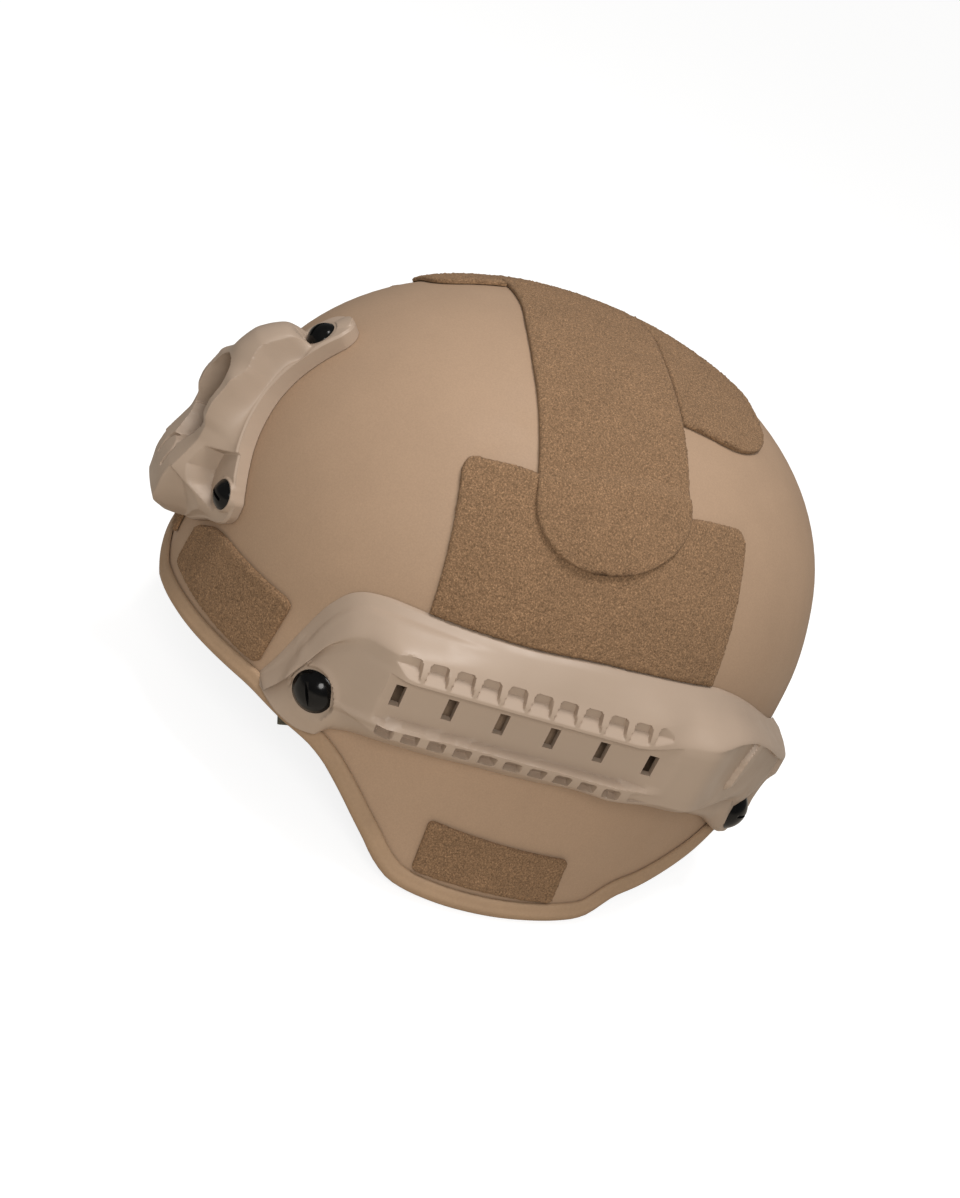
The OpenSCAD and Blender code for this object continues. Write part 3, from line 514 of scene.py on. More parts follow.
def nut_steel():
    f = Finish("nut_steel", Roughness=0.34, Metallic=1.0)
    f.put("Base Color", f.ramp(f.noise(180, 5, 0.6), shades((0.56, 0.55, 0.52), (0.3, 0.8), (0.7, 1.05))))
    f.put("Roughness", f.span(f.noise(260, 4, 0.6), 0.3, 0.7, 0.26, 0.46))
    f.bump(f.noise(900, 2), 0.03, 0.3)
    return f.mat


def hook_fastener():
    f = Finish("hook_fastener", Roughness=0.6, Specular_IOR_Level=0.4)
    pins = f.cells(700, out="Distance")
    f.put("Base Color", f.ramp(pins, shades((0.035, 0.034, 0.032), (0.1, 2.2), (0.5, 0.7))))
    f.bump(pins, 0.5, 0.7)
    return f.mat


def pad_cloth():
    f = Finish("pad_cloth", Roughness=0.9, Specular_IOR_Level=0.15, Sheen_Weight=0.3, Sheen_Roughness=0.5)
    tone = (0.088, 0.084, 0.058)
    knit = f.cells(900, out="Distance")
    wide = f.ramp(f.noise(26, 5, 0.6), shades(tone, (0.3, 0.8), (0.7, 1.15)))
    f.put("Base Color", f.mix(1.0, wide, f.ramp(knit, shades((1, 1, 1), (0.05, 1.25), (0.55, 0.7))),
                              "MULTIPLY"))
    f.bump(knit, 0.35, 0.6)
    f.bump(f.noise(110, 4, 0.6), 0.5, 0.3)
    return f.mat


def webbing():
    f = Finish("webbing", Roughness=0.8, Specular_IOR_Level=0.25, Sheen_Weight=0.2)
    tone = (0.135, 0.132, 0.098)
    ribs = f.sums("MULTIPLY", f.waves(260, "X"), f.waves(190, "Y"))
    f.put("Base Color", f.mix(1.0, f.ramp(f.noise(70, 4, 0.6), shades(tone, (0.3, 0.85), (0.7, 1.12))),
                              f.ramp(ribs, shades((1, 1, 1), (0.0, 0.62), (0.7, 1.12))), "MULTIPLY"))
    f.bump(ribs, 0.3, 0.7)
    f.bump(f.noise(1500, 2), 0.08, 0.4)
    return f.mat


def buckle_plastic():
    f = Finish("buckle_plastic", Roughness=0.4, Specular_IOR_Level=0.45)
    tone = (0.07, 0.068, 0.05)
    f.put("Base Color", f.ramp(f.noise(45, 4, 0.6), shades(tone, (0.3, 0.85), (0.7, 1.12))))
    f.put("Roughness", f.span(f.noise(160, 4), 0.3, 0.7, 0.34, 0.5))
    f.bump(f.noise(1400, 2, 0.5), 0.05, 0.4)
    return f.mat


FINISH = {make.__name__: make() for make in (
    shell_paint, moulded_plastic, trim_rubber, loop_fastener, black_screw,
    nut_steel, hook_fastener, pad_cloth, webbing, buckle_plastic)}


def dress(obj, finish, body, *nodes):
    """Gives a piece its finish, its body and the CAD nodes that it stands for."""
    obj.data.materials.clear()
    obj.data.materials.append(FINISH[finish])
    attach(obj, body)
    if nodes:
        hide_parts(*nodes)
    return obj


# shell and edge trim
def make_shell():
    around, low, high = 288, 26, 34
    obj = fresh("helmet_shell", bpy.ops.mesh.primitive_uv_sphere_add,
                segments=around, ring_count=2 * (low + high))
    in_edit(obj, lambda: bpy.ops.mesh.bisect(plane_co=(0, 0, -1e-4), plane_no=(0, 0, 1), clear_inner=True))
    apply(obj, "SOLIDIFY", thickness=0.05, offset=-1, use_even_offset=True)
    co = points(obj)
    far = np.linalg.norm(co, axis=1) > 0.975
    n = low + high
    t = np.degrees(np.arcsin(np.clip(co[:, 2] / np.linalg.norm(co, axis=1), 0, 1))) / 90 * n
    t = np.where(t < 0.3, 0, np.rint(t))
    a = np.degrees(np.arctan2(co[:, 1], co[:, 0]))
    rim = rim_z(a)
    z = np.where(t < low, rim + (WIDE_Z - rim) * t / low,
                 WIDE_Z + (HIGH - WIDE_Z) * np.sin(np.radians(90 * (t - low) / high)))
    o = np.where(far, 0, -WALL)
    new = skin(a, z, o)
    pole = t > n - 0.5
    new[pole] = np.stack([np.zeros(pole.sum()), np.zeros(pole.sum()), HIGH + o[pole]], -1)
    place(obj, new)
    outward(obj)
    drills = []
    for p, flip in ((FRONT_SCREW, True), (REAR_SCREW, True), (LOW_SCREW, True), (TOP_SCREW, False)):
        for m in ((seat_on(p), FLIP @ seat_on(p)) if flip else (seat_on(p),)):
            drill = fresh("drill", bpy.ops.mesh.primitive_cylinder_add, vertices=40, radius=4.85, depth=30)
            set_in(drill, m)
            drills.append(drill)
    cut(obj, outward(join("drills", drills)))
    return dress(smooth(obj, 50), "shell_paint", "helmet", "shell")


def make_trim():
    profile = np.array([
        [6.0, 0.35], [6.05, 0.9], [5.75, 1.45], [5.1, 1.85], [4.3, 2.05], [3.4, 2.15], [2.5, 2.3],
        [1.9, 2.55], [1.2, 2.6], [0.4, 2.45], [-0.5, 2.1], [-1.2, 1.5], [-1.75, 0.7], [-2.0, -0.4],
        [-2.05, -2.0], [-2.05, -3.8], [-2.0, -5.4], [-1.8, -6.6], [-1.3, -7.6], [-0.5, -8.3],
        [0.7, -8.65], [2.4, -8.75], [4.0, -8.7], [4.7, -8.45], [5.0, -8.0], [5.0, -7.5], [3.4, -7.4],
        [1.5, -7.4], [-0.25, -7.4], [-0.25, -5.0], [-0.25, -2.0], [-0.25, 0.3], [2.0, 0.3], [4.0, 0.3]])
    n = len(profile)
    obj = fresh("rim_trim", bpy.ops.mesh.primitive_torus_add, major_segments=360, minor_segments=n,
                major_radius=1, minor_radius=0.25)
    co = points(obj)
    a = np.degrees(np.arctan2(co[:, 1], co[:, 0]))
    w = np.arctan2(co[:, 2], np.hypot(co[:, 0], co[:, 1]) - 1)
    k = np.rint(w / (2 * math.pi) * n).astype(int) % n
    place(obj, rim_pt(a, profile[k, 0], profile[k, 1]))
    outward(obj)
    return dress(smooth(obj, 55), "trim_rubber", "helmet", "edge_trim")


# side rails
rail_top = soft_line([
    [-108.6, 56.4], [-107, 61], [-105, 67.1], [-100.4, 82.6], [-96, 97.2], [-91, 106], [-86, 109.7],
    [-78, 112.2], [-60, 114], [-30, 116.2], [-5, 117.8], [15, 117], [35, 115], [50, 113], [60, 110],
    [75, 103.2], [90, 94.2], [100, 87.6], [110, 81.5], [117, 77]])
rail_low = soft_line([
    [-108.6, 53.6], [-105.5, 51.3], [-102.3, 49.4], [-96, 48.3], [-90.3, 49.6], [-84, 53.6], [-78, 56.4],
    [-66, 58.8], [-50, 61.2], [-30, 63.4], [0, 63.6], [20, 61.6], [44, 57.4], [62, 53.2], [72, 49.6],
    [80, 46.4], [90, 40], [96, 36.4], [102, 34.6], [110, 35.4], [117, 39]])
lip_share = soft_line([[-110, 0.22], [-88, 0.3], [-74, 1], [14, 1], [40, 0], [118, 0]])
lip_line = soft_line([[-104, 70], [-100, 80], [-96, 88], [-92, 92.6], [-87, 95.4], [-80, 96.3],
                      [-72, 96.5], [14, 96.5], [26, 97.6], [38, 99.2], [118, 99.2]])
ledge_line = soft_line([[-96, 67.4], [-91, 69.5], [-87, 71], [-82, 74], [-75, 76.3], [-68, 77],
                        [30, 77.2], [50, 79]])
stand_off = soft_line([[-108.6, 2.6], [-106, 5.4], [-102, 8.6], [-98, 11], [-93, 13.2], [-88, 15.6],
                       [-83, 18.4], [-78, 21.4], [-72, 24.5], [46, 24.5], [62, 22.5], [76, 20.5],
                       [90, 20], [104, 20.5], [117, 21.5]])
curl = soft_line([[-108.6, 1.6], [-100, 2.4], [92, 2.4], [104, 3.0], [117, 4.6]])
over_trim = soft_line([[-108.6, 3.2], [-90, 3.2], [-84, 0.3], [84, 0.3], [92, 3.2], [117, 3.2]])
rail_crease = soft_line([[16, 98.9], [30, 98.9], [48, 100.6], [60, 101.8], [66, 101], [73, 98.8],
                         [79, 95.8], [86, 91.8], [93, 87], [101, 81.2], [110, 75.6], [117, 71.4]])
LEVELS = [0, 3, 70.4, 72.0, 95.5, 98.9, 105.5, 200, 210]


def floor_x(y):
    return RAIL_X + (y - RAIL_Y) * math.tan(RAIL_TILT)


def rail_section(y):
    """The nine control points of the rail's face and of its back at one station."""
    low, top = float(rail_low(y)), float(rail_top(y))
    h = top - low
    late = float(ease((y - 50) / 50))
    past = float(ease((y - 16) / 24))
    z = [low, low + min(1.4, h * 0.1)]
    z += [max(low + h * 0.075 * k, min(low + h * (1 - 0.075 * (8 - k)), LEVELS[k])) for k in range(2, 7)]
    z += [top - min(1.6 - 0.5 * late, h * 0.1), top]
    if y > 16:
        z[5] = min(float(rail_crease(y)), top - 4)
        z[4] = min(z[4], z[5] - 3.4 + 2.4 * past)
        z[6] += (z[5] + (0.45 + 0.27 * late) * (top - z[5]) - z[6]) * past
    share = float(lip_share(y))
    rear = ease((y - 84) / 24)

    def face_x(zz):
        lean = 1 - (1 - np.interp(zz, [40, 50, 62, 69], [0.58, 0.68, 0.92, 1])) * rear
        a, b = floor_x(y), float(side_x(y, zz)) + float(stand_off(y)) * lean
        soft = 1.2 + 2.8 * ease((-66 - y) / 14)
        return -np.logaddexp(-a / soft, -b / soft) * soft

    def lip_x(zz):
        return face_x(zz) + LIP_D * share

    def beside(zz, o):
        """The point o out from the bare shell, taken straight sideways."""
        x = float(side_x(y, zz))
        return x + o / max(float(out_dir(np.array(x), np.array(y), np.array(zz))[0]), 0.5)
    under = float(over_trim(y))
    thin = min(1.0, h / 12)
    crest = lip_x(z[5]) - 0.6
    shoulder = float(side_x(y, z[6])) + 3
    shoulder += 0.62 * (crest - shoulder)
    shoulder += max(0.0, floor_x(y) + 0.9 - shoulder) * share
    brim = beside(z[7], float(curl(y)) + 1.1 * thin)
    brim += (0.07 + 0.16 * late) * (crest - brim)
    xs = [beside(z[0], under + 1.2 * thin), beside(z[1], under + 3.2 * thin)]
    xs += [lip_x(z[k]) - take for k, take in ((2, 1.8), (3, 0.6), (4, 0.0), (5, 0.5))]
    xs += [shoulder, brim, beside(z[8], float(curl(y)))]
    low_x = [beside(z[0], under), beside(z[1], under)]
    low_x += [max(float(side_x(y, z[k])) + SEAT * 1.8, lip_x(z[k]) - 3 - LIP_D * share) for k in range(2, 6)]
    low_x += [beside(z[k], SEAT) for k in (6, 7, 8)]
    return np.array([[x, y, c] for x, c in zip(xs, z)]), np.array([[x, y, c] for x, c in zip(low_x, z)])


def through(z, table):
    """Points at the heights z on a smooth curve through a section's control points."""
    return np.stack([soft_line(np.stack([table[:, 2], table[:, 0]], -1))(z),
                     soft_line(np.stack([table[:, 2], table[:, 1]], -1))(z), z], -1)


def screw_polar(p, at):
    """How far points lie from a screw's axis, and how far out along it."""
    n = out_dir(*(np.asarray(c, float) for c in at))
    d = p - np.array(at)
    out = d @ n
    return np.linalg.norm(d - out[..., None] * n, axis=-1), out, n


def rounded(a, b, r):
    """How far a point lies inside two edges whose corner is rounded."""
    return r - np.hypot(np.maximum(r - a, 0), np.maximum(r - b, 0))


def rail_detail(p):
    """Cuts the channel, the notches and the recesses into the face, and forms the ends round the screws."""
    way = np.array([math.cos(RAIL_TILT), -math.sin(RAIL_TILT), 0])
    along = np.array([math.sin(RAIL_TILT), math.cos(RAIL_TILT), 0])
    base = np.array([RAIL_X, RAIL_Y, 0])
    d = (p - base) @ way
    s = (p - base) @ along + 50
    y, z = p[..., 1], p[..., 2]
    share = lip_share(y)
    # channel floor, with a rounded ledge below it and a crisp lip above it, both softer at the front end
    blur = 0.5 + 3.6 * ease((-82 - y) / 10)
    channel = step(z, ledge_line(y) + 0.4, 1.2) * (1 - step(z, lip_line(y), blur))
    new = d + (np.minimum(d, 0) - d) * channel * ease(share * 6)
    # upper notches: a floor that falls to the lip bar, an upright back wall, flared sides
    half = np.interp(z, [97.4, 98.4, 101.2, 105.2], [4.25, 4.1, 3.5, 3.1])
    notch = np.full_like(z, -1.0)
    for i in range(11):
        lead = 5.3 if i == 0 else 0.0
        inside = np.minimum(s - (PITCH * i - half - lead), PITCH * i + half - s)
        notch = np.maximum(notch, rounded(inside, 105.2 - z, 1.3))
    floor = np.interp(z, [97.5, 98.1, 101.0, 101.5, 108], [4.6, 3.9, 0.3, -0.4, -0.5])
    mask = step(notch, 0, 0.5) * (z > LIP_Z + 0.8)
    new = new + (np.minimum(new, floor) - new) * mask
    # lower recesses, with a long plain one at the rear end
    lower = np.full_like(z, -9.0)
    for i in range(10):
        lower = np.maximum(lower, 2.95 - np.abs(s - PITCH * i))
    lower = np.maximum(lower, 9.0 - np.abs(s - 106.6))
    lower = rounded(lower, np.minimum(z - 71.4, 75.5 - z), 0.8)
    mask = step(lower, 0, 0.5) * (z < 78)
    deep = np.where(s > 96, 1.2, 3.6)
    new = new - deep * mask * ease(share * 1.5)
    p = p + (new - d)[..., None] * way
    n = out_dir(*(np.moveaxis(p, -1, 0)))
    # thin lip along the arch of the front end
    edge = rail_top(y) - z
    fade = (1 - ease((y + 66) / 26)) * ease((y + 108) / 5)
    sunk_rim = -0.6 * (1 - step(edge, 2.3, 0.7)) + 0.4 * np.exp(-((edge - 3.1) / 0.7) ** 2)
    p = p + (sunk_rim * fade)[..., None] * n
    # ridge from the ledge to the front screw, and the short one above it
    ridge = np.exp(-((z - ledge_line(y) + 0.6) / 1.5) ** 2) * ease((y + 95) / 4) * (1 - ease((y + 78) / 12))
    p = p + (1.0 * ridge)[..., None] * n
    ridge_z = np.interp(y, [-102, -95], [79, 74.5])
    short_ridge = 0.8 * np.exp(-((z - ridge_z) / 0.9) ** 2) * ease((y + 104) / 2) * (1 - ease((y + 96) / 2))
    p = p + short_ridge[..., None] * n
    # rear end: the flange stands over a hollow, crossed by one slanted rib
    below = step(rail_crease(y) - z, 0.6, 0.9) * ease((z - 52) / 16)
    wall = 1 - np.clip((y - 105.5) / 7, 0, 1)
    rib_mid = 69.5 + (z - 75) * 0.36
    rib_half = np.interp(z, [75, 80, 91, 99], [0.2, 1.4, 2.4, 1.6])
    left, right = 2.4 * ease((y - 46) / 22), 6.4 * ease((y - rib_mid - rib_half) / 1.4)
    rib = 1 - ease((np.abs(y - rib_mid) - rib_half) / 1.0)
    hollow = (np.maximum(left, right) * (1 - 0.9 * rib * ease((z - 75) / 4))) * below * wall
    p = p - hollow[..., None] * n
    # the end stays clear of the rear screw, with a small curved lip above it
    r, out, axis = screw_polar(p, REAR_SCREW)
    clear = np.maximum(out - 8.3 - 0.3 * np.maximum(r - 9.7, 0), 0)
    clear = clear * (1 - ease((z - 57) / 10)) * (1 - ease((r - 26) / 8))
    p = p - clear[..., None] * axis
    turn = np.exp(-((r - 15.5) / 0.9) ** 2) * ease((y - 88) / 4) * (1 - ease((y - 104) / 4)) * (z > 46)
    p = p - (1.3 * turn)[..., None] * axis
    # round seats for the screws
    for at, high in ((FRONT_SCREW, 8.0), (REAR_SCREW, 8.0)):
        r, out, axis = screw_polar(p, at)
        seat = 1 - step(r, 9.7, 1.0)
        collar = np.exp(-((r - 11.2) / 1.1) ** 2) * 0.6
        p = p + ((high - out) * seat + np.where(out < high + 5, collar, 0))[..., None] * axis
    return p


def make_rail():
    ys = np.concatenate([spaced(-108.6, -83, 0.7), spaced(-82.5, 38, 0.5), spaced(38.8, 72, 0.85),
                         spaced(72.6, 117, 0.6)])
    zs = np.unique(np.concatenate([
        spaced(63.6, 65, 0.7), spaced(65, 70, 0.7), spaced(70, 76, 0.4), spaced(76, 79, 0.35),
        spaced(79, 95.5, 1.1), spaced(95.5, 98.6, 0.22), spaced(98.9, 106.5, 0.33),
        spaced(106.5, 113.5, 0.9), spaced(113.5, 117.8, 0.43)]))
    ref = rail_section(0.0)[0][:, 2]
    ks = np.interp(zs, ref, np.arange(9))
    face, back = np.empty((len(ys), len(zs), 3)), np.empty((len(ys), len(zs), 3))
    for i, y in enumerate(ys):
        f, b = rail_section(float(y))
        face[i] = through(np.interp(ks, np.arange(9), f[:, 2]), f)
        back[i] = through(np.interp(ks, np.arange(9), b[:, 2]), b)
    face = rail_detail(face)
    iu, iv = np.arange(len(ys)), np.arange(len(zs))
    obj = plate("left_side_rail", iu, iv, lambda u, v: face[u.astype(int), v.astype(int)],
                lambda u, v: back[u.astype(int), v.astype(int)])
    frame_in = Matrix.Translation((RAIL_X, RAIL_Y + MID_Y, 0)) @ Matrix.Rotation(-RAIL_TILT, 4, "Z")
    cutters = []
    for i in range(6):
        box = fresh("window", bpy.ops.mesh.primitive_cube_add, size=1, location=(0, 0, 0))
        box.data.transform(Matrix.Translation((-3, 20 * i - 50, 88)) @ Matrix.Diagonal((14, 4, 9, 1)))
        set_in(box, frame_in)
        cutters.append(box)
    cut(obj, join("windows", cutters))
    bores = []
    for p in (FRONT_SCREW, REAR_SCREW):
        bore = fresh("bore", bpy.ops.mesh.primitive_cylinder_add, vertices=32, radius=2.7, depth=40)
        bores.append(set_in(bore, seat_on(p)))
    cut(obj, outward(join("bores", bores)))
    smooth(obj, 34)
    right = mirrored(obj, "right_side_rail")
    dress(obj, "moulded_plastic", "helmet", "left_rail")
    dress(right, "moulded_plastic", "helmet", "right_rail")


# brow shroud
shroud_w = soft_line([
    [76, 6], [79, 10.5], [83, 16], [86.5, 22], [89.5, 28.2], [93, 32.6], [97, 34.6], [101.5, 34.8],
    [106, 32.4], [113, 27.5], [121, 21.6], [131, 15.8], [140, 11.8], [150, 9.4], [158, 8.6], [164, 8.3],
    [166.6, 6.6], [168.3, 3.6], [169, 0.6]])
latch_rise = soft_line([
    [76, 0.58], [78, 0.7], [82, 0.9], [86.4, 0.98], [93, 0.98], [99.3, 0.93], [104, 0.85], [108, 0.78],
    [113, 0.72], [117, 0.73], [121, 0.83], [126, 0.87], [131, 0.86], [136, 0.89], [141, 0.93],
    [146, 0.91], [149, 0.85], [152, 0.76], [154, 0.67], [155.6, 0.5], [157, 0.31], [169, 0.29]])
latch_w = soft_line([[76, 4.5], [83, 9], [92, 11.5], [104, 12.6], [113, 12.6], [131, 12.3], [138, 10.8],
                     [142, 8.8], [146, 7], [153, 6], [169, 3]])
shroud_edge = soft_line([[76, 4.6], [88, 4.4], [98, 4.6], [108, 5.6], [114, 6.8], [119, 7.4], [130, 7.6],
                         [150, 7.3], [165, 6.6], [169, 5.4]])


def make_shroud():
    us = np.linspace(-1, 1, 241)
    zs = np.unique(np.concatenate([
        spaced(76, 84, 0.35), spaced(84, 96, 0.5), spaced(96, 107, 0.3),
        spaced(107.4, 122, 0.45), spaced(122, 164, 0.5), spaced(164, 169, 0.2)]))

    low_edge = line([[0, 76], [6, 76], [10.5, 79], [16, 83], [22, 86.5], [28.2, 89.5], [32.6, 93],
                     [34.8, 100]])
    rib_high = soft_line([[0, 23], [12, 19], [18, 13.4], [23, 9.2], [28, 7], [36, 6]])

    def field(u, v):
        w = shroud_w(v)
        x = u * w
        ax = np.abs(x)
        lw = np.minimum(latch_w(v), w - 1.6)
        edge = shroud_edge(v)
        arched = 0.042 * ease((v - 133) / 8)
        top = np.maximum(edge, 24 * latch_rise(v) - arched * ax * ax)
        crest = np.maximum(edge, 24 * latch_rise(v) - arched * lw * lw)
        # the housing falls away to the rim of the plate in one hollow sweep
        t = np.clip((ax - lw) / np.maximum(w - 0.9 - lw, 0.5), 0, 1)
        o = np.where(ax > lw, edge + (crest - edge) * (1 - t) ** 2.0 * (1 - 0.2 * t), top)
        # face below the rib: from the rib down to the lower edge
        rib_z = 100.6 - (ax - 12) * 0.72
        drop = np.clip((v - low_edge(ax)) / np.maximum(rib_z - low_edge(ax), 1), 0, 1)
        under = 4.8 + (rib_high(ax) - 4.8) * drop ** 0.8
        o = o + (np.minimum(under, o) - o) * step(rib_z - v, 0.8, 1.6) * step(ax - lw, 0, 3.0)
        # bays for the low screws, cut square into the flanks
        bay = step(ax, 14.8 + 0.35 * np.clip(104 - v, 0, 9), 0.7) * step(110.6 + (ax - 13) * 0.62 - v, 0, 0.6)
        bay = bay * step(v - rib_z, 1.3, 1.4)
        o = o + (np.minimum(o, 6.0) - o) * bay
        # hollow beside the pad of the top screw
        o = o - 2.0 * np.exp(-((v - 152) / 3.0) ** 2) * np.exp(-((ax - 7.4) / 1.2) ** 2)
        # tongue of the latch, inside an arched groove
        arch = np.hypot(x, np.maximum(v - 101, 0)) - 4.6
        o = o - 2.4 * np.exp(-(arch / 0.55) ** 4) * (v > 95.5) * (v < 107)
        # rounded rim
        o = o - 0.9 * (1 - ease((w - ax) / 1.0))
        return x, o

    def outer(u, v):
        x, o = field(u, v)
        p = brow_skin(x, v, o)
        ax = np.abs(p[:, 0])
        # arched socket for a sight foot and the latch slot that opens into it, cut straight back
        wide = 10.9 * np.sqrt(np.clip(1 - (np.maximum(p[:, 2] - 133, 0) / 13) ** 2, 0, 1))
        back = brow_y(0, np.maximum(p[:, 2], 105))
        for half, z0, z1, deep in ((wide, 119.0, 146.0, back - 2.4),
                                   (np.interp(p[:, 2], [106, 121], [4.0, 10.6]), 107.0, 121.0, back - 3.2)):
            mask = step(half - ax, 0, 0.7) * step(p[:, 2], z0, 0.7) * (1 - step(p[:, 2], z1, 0.7))
            p[:, 1] += (np.maximum(p[:, 1], deep) - p[:, 1]) * mask
        for at, size in ((TOP_SCREW, 7.1), (LOW_SCREW, 6.7),
                         ((-LOW_SCREW[0], LOW_SCREW[1], LOW_SCREW[2]), 6.7)):
            r, out, axis = screw_polar(p, at)
            seat = 1 - step(r, size, 0.6)
            p += ((6.35 - out) * seat)[:, None] * axis
        return p

    obj = plate("sight_shroud", us, zs, outer, lambda u, v: brow_skin(field(u, v)[0], v, SEAT))
    bores = []
    for m in (seat_on(TOP_SCREW), seat_on(LOW_SCREW), FLIP @ seat_on(LOW_SCREW)):
        bore = fresh("bore", bpy.ops.mesh.primitive_cylinder_add, vertices=32, radius=2.7, depth=40)
        bores.append(set_in(bore, m))
    cut(obj, outward(join("bores", bores)))
    return dress(smooth(obj, 34), "moulded_plastic", "helmet", "brow_shroud")


# screws and nuts
def screw(r, h, seat_h):
    big = (r * r + h * h) / (2 * h)
    dome = [(big * math.sin(t), seat_h + h - big + big * math.cos(t))
            for t in np.linspace(0, math.asin(min(1, (r - 0.35) / big)), 12)]
    skirt = [(r - 0.08, seat_h + 0.32), (r, seat_h + 0.12), (r - 0.1, seat_h), (4.0, seat_h),
             (2.5, seat_h - 0.05)]
    shank = [(2.5, -WALL + 1.0), (2.5, -WALL - 1.4), (2.2, -WALL - 1.8), (0, -WALL - 1.8)]
    obj = turned("screw", dome + skirt + shank, 56)
    slot = fresh("slot", bpy.ops.mesh.primitive_cube_add, size=1)
    slot.data.transform(Matrix.Translation((0, 0, seat_h + h)) @ Matrix.Diagonal((2 * r * 0.86, 1.3, 2.4, 1)))
    return cut(obj, slot)


def nut(stand):
    top, low = -2.0, -WALL - stand
    profile = [(0, top - 0.6), (2.6, top - 0.6), (3.0, top), (4.4, top), (4.6, top - 0.3),
               (4.6, low + 0.2), (4.7, low), (8.2, low), (8.5, low - 0.3), (8.5, low - 0.9),
               (8.2, low - 1.2), (3.4, low - 1.2), (2.9, low - 0.8), (0, low - 0.8)]
    return turned("nut", profile, 48)


def make_fixings():
    rail_at = [seat_on(FRONT_SCREW), seat_on(REAR_SCREW)]
    rail_at += [FLIP @ m for m in rail_at]
    shroud_at = [seat_on(TOP_SCREW), seat_on(LOW_SCREW), FLIP @ seat_on(LOW_SCREW)]
    for name, places, make, finish, node in (
            ("rail_screw_set", rail_at, lambda: screw(8.5, 4.5, 8.1), "black_screw", "rail_screws"),
            ("shroud_screw_set", shroud_at, lambda: screw(6.0, 3.4, 6.4), "black_screw", "shroud_screws"),
            ("rail_nut_set", rail_at, lambda: nut(5.9), "nut_steel", "rail_nuts"),
            ("shroud_nut_set", shroud_at, lambda: nut(0.9), "nut_steel", "shroud_nuts")):
        parts = []
        for i, m in enumerate(places):
            part = make()
            set_in(part, m @ Matrix.Rotation(0.5 + 0.9 * i, 4, "Z"))
            parts.append(part)
        obj = outward(join(name, parts))
        dress(smooth(obj, 30), finish, "helmet", node)


# loop fastener patches
strip_mid = soft_line([[-110, -2], [-45, -2.5], [-10, -5], [15, -8.7], [43, -11], [110, -11.8]])
strip_lap = soft_line([[-112, 2.1], [-87, 2.1], [-81.5, 0], [81.5, 0], [87, 2.1], [112, 2.1]])
STRIP_HALF, STRIP_TIP = 30.0, 107.5
LOOP_T, LOOP_SEAT = 1.8, 0.4


def arc_half(d, r):
    d = np.clip(d, 0, None)
    return np.where(d >= r, 1.0, np.sqrt(np.maximum(0.0, 1 - ((r - np.minimum(d, r)) / r) ** 2)))


def fuzz(p, seed, size):
    """Uneven nap: the same each run."""
    rng = np.random.default_rng(seed)
    return rng.normal(0, size, p.shape[:-1])


def patch(name, node, us, vs, lay, seed, body="helmet", thick=LOOP_T, base=LOOP_SEAT):
    """A loop patch: lay(u, v, o) gives its points, u and v from 0 to 1."""
    def outer(u, v):
        du, dv = np.minimum(u, 1 - u) * (len(us) - 1), np.minimum(v, 1 - v) * (len(vs) - 1)
        rim = np.minimum(du, dv)
        nap = fuzz(u[:, None], seed, 0.16)
        drop = np.where(rim < 0.5, 0.75, np.where(rim < 1.5, 0.22, 0))
        rag = np.where(rim < 0.5, fuzz(u[:, None], seed + 1, 0.22), 0)
        side = (1 / (len(us) - 1) * 0.35)
        return lay(np.clip(u + rag * side, -0.01, 1.01), np.clip(v + rag / (len(vs) - 1) * 0.35, -0.01, 1.01),
                   base + thick + nap - drop)
    obj = plate(name, us, vs, outer, lambda u, v: lay(u, v, base + 0 * u), square=100)
    return dress(smooth(obj, 70), "loop_fastener", body, node)


